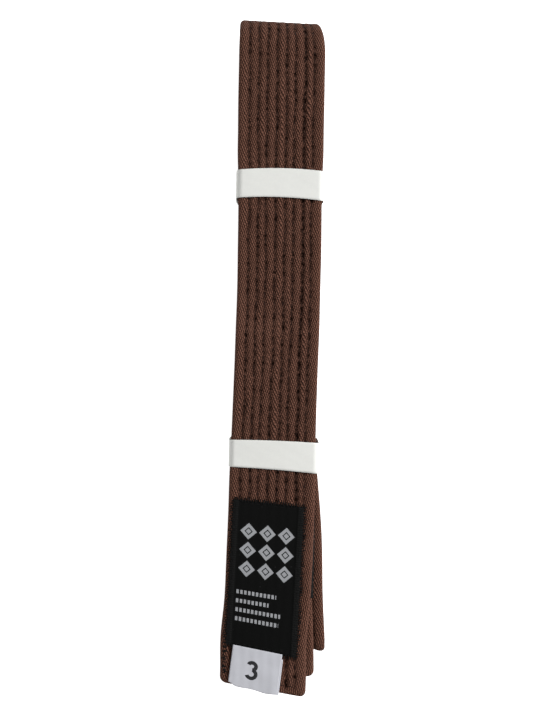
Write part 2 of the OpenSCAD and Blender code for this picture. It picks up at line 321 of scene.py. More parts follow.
def layer_height(sizes, run):
    """Height of the middle of a run; run one is on top."""
    pitch = sizes.thickness + sizes.layer_gap
    stack = COVER_HIGH.z - COVER_LOW.z
    sleeve_room = (stack - RUNS * sizes.thickness - (RUNS - 1) * sizes.layer_gap) / 2
    extra = max(0, 3 - run) * sleeve_room
    return COVER_LOW.z + sizes.thickness / 2 + (RUNS - run) * pitch + extra


def tail(y, start, end):
    """0 above start and 1 at end, for places further down the belt."""
    return np.clip((start - np.asarray(y)) / (start - end), 0, None)


def hump(y, middle, reach):
    """1 at the middle, falling away to both sides of it."""
    return np.exp(-(((np.asarray(y) - middle) / reach) ** 2))


def side_shift(run, y):
    """How far the middle of a run lies to the right of the bundle's axis.

    The whole bundle bows to the right between the bands, and the runs fan out below the lower one.
    """
    wander = RUN_WANDER * ripple(20 + run, y, 0.13, 0.31)
    wander = wander + BUNDLE_BOW * hump(y, BOW_MIDDLE, BOW_REACH)
    if run == 1:
        curve = LABEL_END_LEAN * tail(y, -0.012, -0.108) ** 1.5
        curve = curve + LABEL_END_KINK * hump(y, -0.0895, 0.013)
    elif run == 2:
        curve = RANK_END_LEAN * smooth(tail(y, -0.062, -0.112))
        curve = curve + RANK_END_SHIFT * smooth(tail(y, 0, -0.05))
    elif run in (3, 4):
        t = tail(y, 0.004, -0.09)
        curve = MID_FOLD_LEAN * t * t / (t + 0.12) + MID_FOLD_BULGE * hump(y, -0.036, 0.028)
    else:
        curve = BACK_FOLD_LEAN * tail(y, 0, -0.09) * (1 if run > 6 else BACK_FOLD_SPLIT)
    return wander + curve


def centreline(sizes, stops, step):
    """Points along the middle of the belt, from stops of (run, y); a change of run is a fold.

    Returns the points, the roll at each one and the length along the belt.
    """
    points, rolls = [], []
    for (run, start), (next_run, end) in zip(stops, stops[1:]):
        height = layer_height(sizes, run)
        if run == next_run:
            y = np.linspace(start, end, max(3, round(abs(end - start) / MM)))
            x = side_shift(run, y)
            z = np.full(y.shape, height)
        else:
            turn = np.linspace(0, math.pi, 40)
            half = (layer_height(sizes, next_run) - height) / 2
            outward = 1 if start > 0 else -1
            y = start + outward * abs(half) * np.sin(turn)
            z = height + half * (1 - np.cos(turn))
            share = turn / math.pi
            x = side_shift(run, start) * (1 - share) + side_shift(next_run, start) * share
        lifted = tail(y, LIFT_AXIS[1], LABEL_END_LOW.y) if run == next_run == 1 else 0 * y
        points.append(np.stack([x, y, z + sizes.tip_raise * lifted**3], axis=1))
        rolls.append(sizes.tip_roll * lifted**2)
    points, rolls = np.concatenate(points), np.concatenate(rolls)
    lengths = np.linalg.norm(np.diff(points, axis=0), axis=1)
    keep = np.concatenate([[True], lengths > 1e-7])
    points, rolls = points[keep], rolls[keep]
    along = np.concatenate([[0], np.cumsum(np.linalg.norm(np.diff(points, axis=0), axis=1))])
    even = np.linspace(0, along[-1], round(along[-1] / step) + 1)
    points = np.stack([np.interp(even, along, points[:, i]) for i in range(3)], axis=1)
    return points, np.interp(even, along, rolls), even


class Strap:
    """The belt between two of its stops: its centreline, its quilted surface and its rows."""

    def __init__(self, sizes, stops, start_tip=False, end_tip=False, along_offset=0.0, step=None):
        self.sizes = sizes
        self.points, self.rolls, self.along = centreline(sizes, stops, step or sizes.stitch_pitch / 6)
        self.tips = start_tip, end_tip
        self.offset = along_offset
        tangent = unit(np.gradient(self.points, axis=0))
        across = unit(np.array([1.0, 0, 0]) - tangent * tangent[:, :1])
        normal = np.cross(across, tangent)
        cos, sin = np.cos(self.rolls)[:, None], np.sin(self.rolls)[:, None]
        self.tangent = tangent
        self.across = across * cos + normal * sin
        self.normal = normal * cos - across * sin

    @property
    def length(self):
        return self.along[-1]

    def at(self, values, s):
        """A field of the centreline at distances s along it."""
        return np.stack([np.interp(s, self.along, values[:, i]) for i in range(3)], axis=-1)

    def tip_gap(self, s):
        """Distance to the nearest of the strap's own tips."""
        far = np.full(np.shape(s), 1.0)
        if self.tips[0]:
            far = np.minimum(far, s)
        if self.tips[1]:
            far = np.minimum(far, self.length - s)
        return far

    def row(self, index, s):
        """Place of a row across the belt, which wanders a little."""
        sizes = self.sizes
        wander = ROW_WANDER * ripple(index, np.asarray(s) + self.offset, 0.053, 0.023, 0.117)
        off = ROW_OFFSET * (scatter(1, index) - 0.5)
        return -sizes.width / 2 + sizes.row_inset + index * row_pitch(sizes) + off + wander

    def depth(self, s, u):
        """How far the quilting pulls the surface in, and how much painted shade its grooves and dimples
        get.

        Grooves, dimples and puckers all fade at the belt's tips and flatten over the folded top.
        """
        sizes = self.sizes
        place = np.asarray(s) + self.offset
        stitch = 0.5 + 0.5 * np.cos(2 * math.pi * place / sizes.stitch_pitch)
        total, groove_shade = np.zeros(np.shape(s + u)), np.zeros(np.shape(s + u))
        for index in range(sizes.row_count):
            gap = np.abs(u - self.row(index, s)) / sizes.groove_reach
            uneven = 0.8 + 0.4 * scatter(0, index)
            uneven = uneven + 0.25 * ripple(40 + index, place, 0.0117, 0.0065, 0.031)
            groove = np.exp(-(gap**1.6)) * uneven
            number = np.round(place / sizes.stitch_pitch)
            strength = 0.15 + 0.85 * scatter(number, index)
            sharp = 1.2 + 2 * scatter(number, index + 9)
            dimple = np.exp(-((1.9 * gap) ** 2)) * stitch**sharp * strength
            total = total + sizes.groove_depth * groove + sizes.dimple_depth * dimple
            # Painted shade: each groove, and each needle dimple more, gets a darker colour where shade
            # would fall.
            groove_shade = groove_shade + 0.55 * uneven * np.exp(-((1.1 * gap) ** 2)) + 0.4 * dimple
        puckers = ripple(7, place + 2.4 * u, 0.0088, 0.0129) * ripple(8, u * 3 - place, 0.017, 0.0071)
        total = total + 0.07 * MM * (1 - puckers)
        fade = smooth(self.tip_gap(s) / (4.5 * MM))
        height = np.interp(s, self.along, self.points[:, 1])
        taut = 1 - 0.75 * smooth((height - COVER_HIGH.y + 9 * MM) / (7 * MM))
        return total * fade * taut, np.clip(groove_shade * fade, 0, 1)

    def squeeze(self, s, u):
        """Places across the belt after its tips' corners and the folded top's sides are rounded in."""
        sizes = self.sizes
        gap = COVER_HIGH.y - np.interp(s, self.along, self.points[:, 1])
        left = pull_in(gap, sizes.left_round, sizes.left_round)
        right = pull_in(gap, sizes.right_pull, sizes.right_reach)
        inset = np.where(u < 0, left, right) + pull_in(self.tip_gap(s), sizes.corner, sizes.corner)
        y = COVER_HIGH.y - gap
        pressed = sizes.pressed * smooth((y + BAND_PRESS_START) / BAND_PRESS_RISE)
        pressed = pressed * (1 - smooth((y - BAND_PRESS_END) / BAND_PRESS_FADE))
        if self.tips[1]:
            fade = 1 - smooth((y - SLEEVE_PRESS_END) / SLEEVE_PRESS_FADE)
            pressed = pressed + sizes.sleeve_press * fade
        inset = inset + pressed + 0.07 * MM * ripple(3, y, 0.037, 0.083)
        return u * (1 - inset / (sizes.width / 2))

    def settle(self, points, u):
        """Points with the slant of the folded top."""
        share = smooth((points[..., 1] - COVER_HIGH.y + 45 * MM) / (40 * MM))
        points[..., 1] -= u * math.tan(self.sizes.fold_slant) * share
        return points

    def surface(self, s, u, side, lift=0.0):
        """Points on the front (side 1) or the back (side -1) face, and the way out of it there."""
        depth, _ = self.depth(s, u)
        out = self.at(self.normal, s) * side
        height = self.sizes.thickness / 2 - depth + lift
        across = self.at(self.across, s) * self.squeeze(s, u)[..., None]
        point = self.at(self.points, s) + across + out * height[..., None]
        return self.settle(point, u), out

    def section(self):
        """Half section from the left edge to the right one: place, half height and row of each
        station, where row -1 is no row."""
        sizes = self.sizes
        half, edge = sizes.width / 2, sizes.edge
        stations = []
        for turn in np.radians((12, 38, 64)).tolist():
            stations.append((-half + edge * (1 - math.cos(turn)), math.sin(turn), -1))
        pitch = row_pitch(sizes)
        first = -half + sizes.row_inset
        for u in np.linspace(-half + edge, first - 1.6 * sizes.groove_reach, 4):
            stations.append((u, 1.0, -1))
        for index in range(sizes.row_count):
            middle = first + index * pitch
            for share in (-1.2, -0.7, -0.32, 0, 0.32, 0.7, 1.2):
                stations.append((middle + share * sizes.groove_reach, 1.0, index))
            if index < sizes.row_count - 1:
                stations.append((middle + pitch / 2, 1.0, -1))
        for u, height, _ in reversed(stations[:7]):
            stations.append((-u, height, -1))
        return stations

    def build(self, name):
        """The strap's closed, quilted mesh."""
        sizes = self.sizes
        stations = self.section()
        base_u = np.array([s[0] for s in stations])
        base_h = np.array([s[1] for s in stations]) * sizes.thickness / 2
        rows = np.array([s[2] for s in stations])
        s = self.along
        near_tip = np.array([0.12, 0.35, 0.7, 1.2, 1.9]) * MM
        if self.tips[0]:
            s = np.concatenate([[0], near_tip, s[s > 2.6 * MM]])
        if self.tips[1]:
            body = s[s < self.length - 2.6 * MM]
            s = np.concatenate([body, self.length - near_tip[::-1], [self.length]])
        S = s[:, None]
        u = np.repeat(base_u[None, :], len(s), axis=0)
        for index in range(sizes.row_count):
            straight = -sizes.width / 2 + sizes.row_inset + index * row_pitch(sizes)
            shift = self.row(index, s) - straight
            u[:, rows == index] += shift[:, None]
        gap = self.tip_gap(S)
        flat_u = u
        u = self.squeeze(S, u)
        round_end = np.sqrt(np.clip(1 - np.maximum(1 - gap / (1.5 * MM), 0) ** 2, 0.01, 1))
        height = base_h[None, :] * round_end
        depth, groove_shade = self.depth(S, flat_u)
        flat = (base_h / (sizes.thickness / 2))[None, :]
        height = np.maximum(height - depth * flat, 0.05 * MM)
        centre = self.at(self.points, s)[:, None, :]
        across, normal = self.at(self.across, s)[:, None, :], self.at(self.normal, s)[:, None, :]
        tangent = self.at(self.tangent, s)[:, None, :]
        slant = self.slant(s)[:, None]
        middle = centre + across * u[..., None] - tangent * (slant * u)[..., None]
        front = middle + normal * height[..., None]
        back = middle - normal * height[..., None]
        points = np.concatenate([self.settle(front, u), self.settle(back, u)[:, ::-1]], axis=1)
        groove_shade = np.concatenate([groove_shade, groove_shade[:, ::-1]], axis=1)
        columns = points.shape[1]
        half = len(stations)
        faces = grid_faces(len(s), columns, True)
        steps = np.linalg.norm(np.diff(points[len(s) // 2], axis=0), axis=1)
        perimeter = np.concatenate([[0], np.cumsum(steps), [np.sum(steps) + 0.8 * MM]])
        uv = corner_uv(faces, columns, perimeter, s + self.offset)
        i = np.arange(half - 1)
        start = np.stack([i, columns - 1 - i, columns - 2 - i, i + 1], axis=1)
        end = np.stack([i, i + 1, columns - 2 - i, columns - 1 - i], axis=1) + (len(s) - 1) * columns
        caps = np.concatenate([start, end])
        cap_uv = np.stack([perimeter[caps % columns], (s + self.offset)[caps // columns]], axis=-1)
        faces = np.concatenate([faces, caps])
        uv = np.concatenate([uv, cap_uv])
        return mesh_object(name, points, faces[:, ::-1], uv[:, ::-1], groove_shade)

    def slant(self, s):
        """Slant of the cross threads, which only the label end's tip has."""
        if not self.tips[0]:
            return np.zeros(np.shape(s))
        y = np.interp(s, self.along, self.points[:, 1])
        return math.tan(self.sizes.tip_slant) * smooth(tail(y, -0.05, -0.108))


def front_strap(sizes):
    """Run one, the outer fold and run eight as far as the upper band."""
    top = COVER_HIGH.y - (layer_height(sizes, 1) - layer_height(sizes, RUNS) + sizes.thickness) / 2
    stops = [(1, LABEL_END_LOW.y), (1, top), (RUNS, top), (RUNS, UPPER_BAND_Y)]
    return Strap(sizes, stops, start_tip=True)


def inner_strap(sizes):
    """The belt from run eight under the upper band round to run two there."""
    top = COVER_HIGH.y - (layer_height(sizes, 1) - layer_height(sizes, RUNS) + sizes.thickness) / 2
    foot = -sizes.back_fold + (layer_height(sizes, 5) - layer_height(sizes, 8) + sizes.thickness) / 2
    mid = -sizes.mid_fold + (layer_height(sizes, 3) - layer_height(sizes, 4) + sizes.thickness) / 2
    order = [(8, foot), (5, foot), (5, top), (4, top), (4, mid), (3, mid), (3, top), (6, top)]
    order += [(6, foot), (7, foot), (7, top), (2, top)]
    stops = [(RUNS, UPPER_BAND_Y)] + order + [(2, UPPER_BAND_Y)]
    offset = front_strap(sizes).length
    return Strap(sizes, stops, along_offset=offset, step=INNER_STEP)


def rank_strap(sizes):
    """Run two from the upper band to the rank end's tip."""
    stops = [(2, UPPER_BAND_Y), (2, COVER_LOW.y)]
    return Strap(sizes, stops, end_tip=True, along_offset=0.0, step=sizes.stitch_pitch / 5)


# ---- Node helpers ----


def link(tree, value, socket):
    """Feeds a socket from another socket, or sets it to a plain value."""
    if isinstance(value, bpy.types.NodeSocket):
        tree.links.new(value, socket)
    else:
        socket.default_value = value


def maths(tree, operation, a, b=None, c=None, clamp=False):
    """A Math node's result."""
    node = tree.nodes.new("ShaderNodeMath")
    node.operation = operation
    node.use_clamp = clamp
    for index, value in enumerate((a, b, c)):
        if value is not None:
            link(tree, value, node.inputs[index])
    return node.outputs[0]


def blend_colour(tree, factor, a, b):
    """A mix of two colours."""
    node = tree.nodes.new("ShaderNodeMix")
    node.data_type = "RGBA"
    link(tree, factor, node.inputs[0])
    for value, socket in ((a, node.inputs[6]), (b, node.inputs[7])):
        link(tree, value if isinstance(value, bpy.types.NodeSocket) else (*value, 1.0), socket)
    return node.outputs[2]


def noise(tree, vector, scale, detail=2.0, roughness=0.5):
    """A noise value, 0 to 1."""
    node = tree.nodes.new("ShaderNodeTexNoise")
    link(tree, vector, node.inputs["Vector"])
    node.inputs["Scale"].default_value = scale
    node.inputs["Detail"].default_value = detail
    node.inputs["Roughness"].default_value = roughness
    return node.outputs["Fac"]


def remap(tree, value, low, high, new_low=0.0, new_high=1.0):
    """A value moved from one range to another, clamped."""
    node = tree.nodes.new("ShaderNodeMapRange")
    for index, part in enumerate((value, low, high, new_low, new_high)):
        link(tree, part, node.inputs[index])
    return node.outputs[0]


def new_group(name, inputs, outputs):
    """A shader node group with named sockets, made once."""
    group = bpy.data.node_groups.new(name, "ShaderNodeTree")
    for label, kind, default in inputs:
        socket = group.interface.new_socket(name=label, in_out="INPUT", socket_type=kind)
        if default is not None:
            socket.default_value = default
    for label, kind in outputs:
        group.interface.new_socket(name=label, in_out="OUTPUT", socket_type=kind)
    return group, group.nodes.new("NodeGroupInput"), group.nodes.new("NodeGroupOutput")


def use_group(tree, group, **values):
    """A group placed in a material, with its own values."""
    node = tree.nodes.new("ShaderNodeGroup")
    node.node_tree = group
    for label, value in values.items():
        link(tree, value, node.inputs[label.replace("_", " ")])
    return node


def new_material(name, roughness, specular=0.3):
    """A material with its Principled shader, and its constants on the shader's own sockets."""
    material = bpy.data.materials.new(name)
    material.use_nodes = True
    shader = material.node_tree.nodes["Principled BSDF"]
    shader.inputs["Roughness"].default_value = roughness
    shader.inputs["Specular IOR Level"].default_value = specular
    return material, material.node_tree, shader


def coordinates(tree, kind="UV"):
    """Object coordinates, or the piece's own UV map."""
    return tree.nodes.new("ShaderNodeTexCoord").outputs[kind]


def split_axes(tree, vector):
    """The first two parts of a vector."""
    node = tree.nodes.new("ShaderNodeSeparateXYZ")
    tree.links.new(vector, node.inputs[0])
    return node.outputs["X"], node.outputs["Y"]


def half_wave(tree, value):
    """Rises and falls once over each whole step of a value, from 0 to 1 and back."""
    return maths(tree, "SINE", maths(tree, "MULTIPLY", maths(tree, "FRACT", value), math.pi))


def bump(tree, height, distance, strength=1.0):
    """A Bump node's normal."""
    node = tree.nodes.new("ShaderNodeBump")
    node.inputs["Strength"].default_value = strength
    node.inputs["Distance"].default_value = distance
    link(tree, height, node.inputs["Height"])
    return node.outputs["Normal"]


def paint(tree, shader, base, height, distance, strength=1.0):
    """Gives a shader its colour, and its normal from a height."""
    tree.links.new(base, shader.inputs["Base Color"])
    tree.links.new(bump(tree, height, distance, strength), shader.inputs["Normal"])


# ---- Shared effects ----


def twill_group():
    """Steep wales of a cotton drill, with the short floats of each wale."""
    group, given, result = new_group(
        "Twill Wales",
        [("Vector", "NodeSocketVector", None), ("Pitch", "NodeSocketFloat", 1.05 * MM),
         ("Float", "NodeSocketFloat", 1.45 * MM), ("Slope", "NodeSocketFloat", 70.0)],
        [("Height", "NodeSocketFloat"), ("Wale", "NodeSocketFloat")],
    )
    wobble = noise(group, given.outputs["Vector"], 320.0, 1.0)
    u, v = split_axes(group, given.outputs["Vector"])
    slope = maths(group, "RADIANS", given.outputs["Slope"])
    cos, sin = maths(group, "COSINE", slope), maths(group, "SINE", slope)
    over = maths(group, "MULTIPLY_ADD", u, sin, maths(group, "MULTIPLY", v, cos))
    back = maths(group, "MULTIPLY", maths(group, "MULTIPLY", v, sin), -1.0)
    down = maths(group, "MULTIPLY_ADD", u, cos, back)
    pitch = maths(group, "MULTIPLY", given.outputs["Pitch"], sin)
    wobble = maths(group, "MULTIPLY", wobble, 0.55)
    wales = maths(group, "ADD", maths(group, "DIVIDE", over, pitch), wobble)
    ridge = maths(group, "POWER", half_wave(group, wales), 1.1)
    stagger = maths(group, "MULTIPLY", maths(group, "FLOOR", wales), 0.45)
    floats = maths(group, "ADD", maths(group, "DIVIDE", down, given.outputs["Float"]), stagger)
    bead = maths(group, "POWER", half_wave(group, floats), 0.8)
    height = maths(group, "MULTIPLY", ridge, maths(group, "MULTIPLY_ADD", bead, 0.6, 0.4))
    group.links.new(height, result.inputs["Height"])
    group.links.new(ridge, result.inputs["Wale"])
    return group


def plain_weave_group():
    """Fine over-and-under weave of a flat fabric."""
    group, given, result = new_group(
        "Plain Weave",
        [("Vector", "NodeSocketVector", None), ("Across", "NodeSocketFloat", 0.3 * MM),
         ("Along", "NodeSocketFloat", 0.3 * MM)],
        [("Height", "NodeSocketFloat")],
    )
    waves = []
    for place, name in zip(split_axes(group, given.outputs["Vector"]), ("Across", "Along")):
        turns = maths(group, "DIVIDE", place, given.outputs[name])
        waves.append(maths(group, "SINE", maths(group, "MULTIPLY", turns, math.pi)))
    height = maths(group, "MULTIPLY_ADD", maths(group, "MULTIPLY", *waves), 0.5, 0.5)
    group.links.new(height, result.inputs["Height"])
    return group


def lint_group():
    """Sparse pale fibres and specks that cling to cloth."""
    group, given, result = new_group(
        "Lint",
        [("Vector", "NodeSocketVector", None), ("Scale", "NodeSocketFloat", 900.0),
         ("Amount", "NodeSocketFloat", 0.5)],
        [("Mask", "NodeSocketFloat")],
    )
    fine = group.nodes.new("ShaderNodeTexNoise")
    fine.inputs["Detail"].default_value = 3.0
    group.links.new(given.outputs["Vector"], fine.inputs["Vector"])
    group.links.new(given.outputs["Scale"], fine.inputs["Scale"])
    broad = noise(group, given.outputs["Vector"], 60.0, 1.0)
    speck = remap(group, fine.outputs["Fac"], 0.69, 0.78)
    patch = remap(group, broad, 0.42, 0.7)
    mask = maths(group, "MULTIPLY", speck, patch)
    mask = maths(group, "MULTIPLY", mask, given.outputs["Amount"], clamp=True)
    group.links.new(mask, result.inputs["Mask"])
    return group


def motif_group():
    """A lattice of lozenges above rows of dashes, in the label's own coordinates."""
    group, given, result = new_group(
        "Label Motif",
        [("Vector", "NodeSocketVector", None), ("Cell", "NodeSocketFloat", 9.2 * MM),
         ("Left", "NodeSocketFloat", -13.6 * MM), ("Base", "NodeSocketFloat", 33.6 * MM),
         ("Line Pitch", "NodeSocketFloat", 4.4 * MM)],
        [("Mask", "NodeSocketFloat")],
    )
    right, up = split_axes(group, given.outputs["Vector"])
    left, base, cell = (given.outputs[name] for name in ("Left", "Base", "Cell"))

    def band(value, low, high):
        above = maths(group, "GREATER_THAN", value, low)
        return maths(group, "MULTIPLY", above, maths(group, "LESS_THAN", value, high))

    x = maths(group, "DIVIDE", maths(group, "SUBTRACT", right, left), cell)
    y = maths(group, "DIVIDE", maths(group, "SUBTRACT", up, base), cell)
    inside = maths(group, "MULTIPLY", band(x, 0.0, 3.0), band(y, 0.0, 3.0))
    dx = maths(group, "ABSOLUTE", maths(group, "SUBTRACT", maths(group, "FRACT", x), 0.5))
    dy = maths(group, "ABSOLUTE", maths(group, "SUBTRACT", maths(group, "FRACT", y), 0.5))
    ring = maths(group, "ADD", dx, dy)
    lozenge = maths(group, "SUBTRACT", band(ring, -1.0, 0.44), band(ring, 0.15, 0.22))
    lattice = maths(group, "MULTIPLY", inside, lozenge)
    line_pitch, dash_pitch = given.outputs["Line Pitch"], 1.9 * MM
    below = maths(group, "SUBTRACT", base, up)
    line = maths(group, "DIVIDE", maths(group, "SUBTRACT", below, 5.2 * MM), line_pitch)
    number = maths(group, "FLOOR", line)
    draw = group.nodes.new("ShaderNodeTexWhiteNoise")
    draw.noise_dimensions = "1D"
    group.links.new(number, draw.inputs["W"])
    reach = maths(group, "MULTIPLY_ADD", draw.outputs["Value"], 8 * MM, 15 * MM)
    step = maths(group, "DIVIDE", maths(group, "SUBTRACT", right, left), dash_pitch)
    row_height = band(maths(group, "FRACT", line), 0.2, 0.64)
    on_line = maths(group, "MULTIPLY", band(line, 0.0, 4.0), row_height)
    dash = band(maths(group, "FRACT", step), 0.14, 0.76)
    across = maths(group, "MULTIPLY", step, dash_pitch)
    written = maths(group, "MULTIPLY", dash, band(across, 0.0, reach))
    dashes = maths(group, "MULTIPLY", on_line, written)
    group.links.new(maths(group, "MAXIMUM", lattice, dashes), result.inputs["Mask"])
    return group


SHARED = {}


def shared(name, make):
    """A node group or material, made once."""
    if name not in SHARED:
        SHARED[name] = make()
    return SHARED[name]


def plain_weave(tree, uv, across, along):
    """Height of a plain weave with threads at these pitches."""
    node = use_group(tree, shared("weave", plain_weave_group), Vector=uv, Across=across, Along=along)
    return node.outputs["Height"]


def with_lint(tree, base, tint, amount, scale=900.0):
    """A colour with sparse pale lint on it."""
    place = coordinates(tree, "Object")
    lint = use_group(tree, shared("lint", lint_group), Vector=place, Scale=scale, Amount=amount)
    return blend_colour(tree, lint.outputs["Mask"], base, tint)


# ---- Materials ----


def cover_material():
    """Brown cotton drill: raised wales with painted shade in the hollows between them, painted shade in
    the stitched grooves, slightly faded and linty.
    """
    tones = bpy.context.scene.belt_colours
    material, tree, shader = new_material("Brown Twill", 0.86, specular=0.03)
    uv = coordinates(tree)
    place = coordinates(tree, "Object")
    twill = use_group(tree, shared("twill", twill_group), Vector=uv)
    weave = twill.outputs["Height"]
    fibre = noise(tree, uv, 2200.0, 3.0, 0.7)
    broad = noise(tree, place, 26.0, 3.0, 0.6)
    fuzz = remap(tree, noise(tree, place, 95.0, 2.0, 0.6), 0.5, 0.75, 0.0, 0.4)
    # Painted shade: the hollows between the wales go towards the near-black shade colour while the
    # crests stay light, mixed with random fibre tone.
    tone = maths(tree, "MULTIPLY_ADD", fibre, 1.1, weave)
    tone = remap(tree, tone, 0.62, 1.5)
    tone = maths(tree, "MULTIPLY_ADD", maths(tree, "SUBTRACT", 0.42, tone), fuzz, tone)
    base = blend_colour(tree, tone, tones.cover_shade_and_dark_fibre, tones.cover)
    faded = [c * 0.85 + 0.006 for c in tones.cover]
    base = blend_colour(tree, remap(tree, broad, 0.5, 0.85, 0.0, 0.35), base, faded)
    # Painted shade in the stitched grooves and dimples: the per-point shade mask, made patchy by noise,
    # darkens the colour.
    groove_shade = tree.nodes.new("ShaderNodeAttribute")
    groove_shade.attribute_name = "groove_shade"
    shadow = [c * 0.9 for c in tones.cover_shade_and_dark_fibre]
    patchy = remap(tree, noise(tree, uv, 520.0, 2.0, 0.6), 0.3, 0.7, 0.25, 1.5)
    groove = remap(tree, maths(tree, "MULTIPLY", groove_shade.outputs["Fac"], patchy), 0.1, 0.75)
    base = blend_colour(tree, groove, base, shadow)
    base = with_lint(tree, base, (0.42, 0.36, 0.32), 0.35, scale=1500.0)
    rough = maths(tree, "MULTIPLY_ADD", fibre, 0.12, 0.8)
    tree.links.new(rough, shader.inputs["Roughness"])
    paint(tree, shader, base, maths(tree, "MULTIPLY_ADD", fibre, 0.22, weave), 0.4 * MM)
    return material


def thread_material(name, tone):
    """Twisted sewing thread."""
    material, tree, shader = new_material(name, 0.75, specular=0.1)
    place = coordinates(tree, "Object")
    fibre = noise(tree, place, 2400.0, 3.0, 0.65)
    pale = [c * 1.8 + 0.004 for c in tone]
    paint(tree, shader, blend_colour(tree, fibre, tone, pale), fibre, 0.06 * MM)
    return material


def sleeve_material():
    """Black cotton of the rank sleeve."""
    tones = bpy.context.scene.belt_colours
    material, tree, shader = new_material("Black Cotton", 0.8, specular=0.08)
    uv = coordinates(tree)
    weave = plain_weave(tree, uv, 0.42 * MM, 0.42 * MM)
    fibre = noise(tree, uv, 1900.0, 3.0, 0.7)
    pale = [c * 3.2 + 0.004 for c in tones.black]
    base = blend_colour(tree, maths(tree, "MULTIPLY", fibre, weave), tones.black, pale)
    base = with_lint(tree, base, (0.35, 0.35, 0.36), 0.4)
    paint(tree, shader, base, weave, 0.1 * MM, 0.8)
    return material


def label_material():
    """Black damask with a silver motif, and ribbed strips down its sides."""
    tones = bpy.context.scene.belt_colours
    sizes = bpy.context.scene.label_sizes
    material, tree, shader = new_material("Woven Label", 0.7, specular=0.05)
    uv = coordinates(tree)
    motif = use_group(tree, shared("motif", motif_group), Vector=uv)
    ground = plain_weave(tree, uv, 0.28 * MM, 0.5 * MM)
    across, along = split_axes(tree, uv)
    side = maths(tree, "ABSOLUTE", across)
    strip = maths(tree, "GREATER_THAN", side, sizes.width / 2 - sizes.edge_width)
    rib = maths(tree, "SINE", maths(tree, "MULTIPLY", along, math.pi / (0.55 * MM)))
    rib = maths(tree, "MULTIPLY_ADD", rib, 0.5, 0.5)
    fibre = noise(tree, uv, 1500.0, 2.0, 0.6)
    grey = [c * 3 + 0.004 for c in tones.black]
    tone = maths(tree, "MULTIPLY", maths(tree, "MULTIPLY", fibre, ground), 0.5)
    ribbed = maths(tree, "MULTIPLY", strip, maths(tree, "MULTIPLY_ADD", rib, 0.45, 0.2))
    tone = maths(tree, "ADD", tone, ribbed, clamp=True)
    base = blend_colour(tree, tone, tones.black, grey)
    silver_dark = [c * 0.55 for c in tones.silver]
    silver = blend_colour(tree, ground, silver_dark, tones.silver)
    base = blend_colour(tree, motif.outputs["Mask"], base, silver)
    base = with_lint(tree, base, (0.3, 0.3, 0.32), 0.3)
    height = maths(tree, "ADD", ground, maths(tree, "MULTIPLY", strip, rib))
    height = maths(tree, "MULTIPLY_ADD", motif.outputs["Mask"], 0.8, height)
    paint(tree, shader, base, height, 0.09 * MM, 0.8)
    return material


def tag_material():
    """Pale woven ribbon."""
    tones = bpy.context.scene.belt_colours
    material, tree, shader = new_material("Tag Ribbon", 0.5, specular=0.3)
    uv = coordinates(tree)
    weave = plain_weave(tree, uv, 0.22 * MM, 0.3 * MM)
    shade = noise(tree, coordinates(tree, "Object"), 160.0, 2.0)
    dark = [c * 0.78 for c in tones.tag]
    shade = maths(tree, "MULTIPLY", shade, 0.7)
    tone = maths(tree, "MULTIPLY_ADD", weave, 0.45, shade, clamp=True)
    paint(tree, shader, blend_colour(tree, tone, dark, tones.tag), weave, 0.04 * MM, 0.7)
    return material


def ink_material():
    """Matt ink, slightly broken by the weave under it."""
    tones = bpy.context.scene.belt_colours
    material, tree, shader = new_material("Tag Ink", 0.6)
    weave = noise(tree, coordinates(tree, "Object"), 3200.0, 1.0)
    pale = [c * 4 + 0.01 for c in tones.ink]
    tone = remap(tree, weave, 0.55, 0.8)
    paint(tree, shader, blend_colour(tree, tone, tones.ink, pale), weave, 0.02 * MM)
    return material


def paper_material():
    """Smooth white paper with faint fibres."""
    tones = bpy.context.scene.belt_colours
    material, tree, shader = new_material("White Paper", 0.62, specular=0.35)
    place = coordinates(tree, "Object")
    fibre = noise(tree, place, 900.0, 4.0, 0.65)
    broad = noise(tree, place, 70.0, 2.0)
    dark = [c * 0.86 for c in tones.paper]
    tone = maths(tree, "MULTIPLY_ADD", fibre, 0.6, maths(tree, "MULTIPLY", broad, 0.5), clamp=True)
    height = maths(tree, "MULTIPLY_ADD", broad, 2.0, fibre)
    paint(tree, shader, blend_colour(tree, tone, dark, tones.paper), height, 0.035 * MM, 0.6)
    return material


def glue_material():
    """Dried glue."""
    tones = bpy.context.scene.belt_colours
    material, tree, shader = new_material("Dried Glue", 0.35, specular=0.5)
    spread = noise(tree, coordinates(tree, "Object"), 400.0, 3.0)
    dark = [c * 0.7 for c in tones.glue]
    paint(tree, shader, blend_colour(tree, spread, dark, tones.glue), spread, 0.05 * MM)
    return material


# ---- Stitches ----


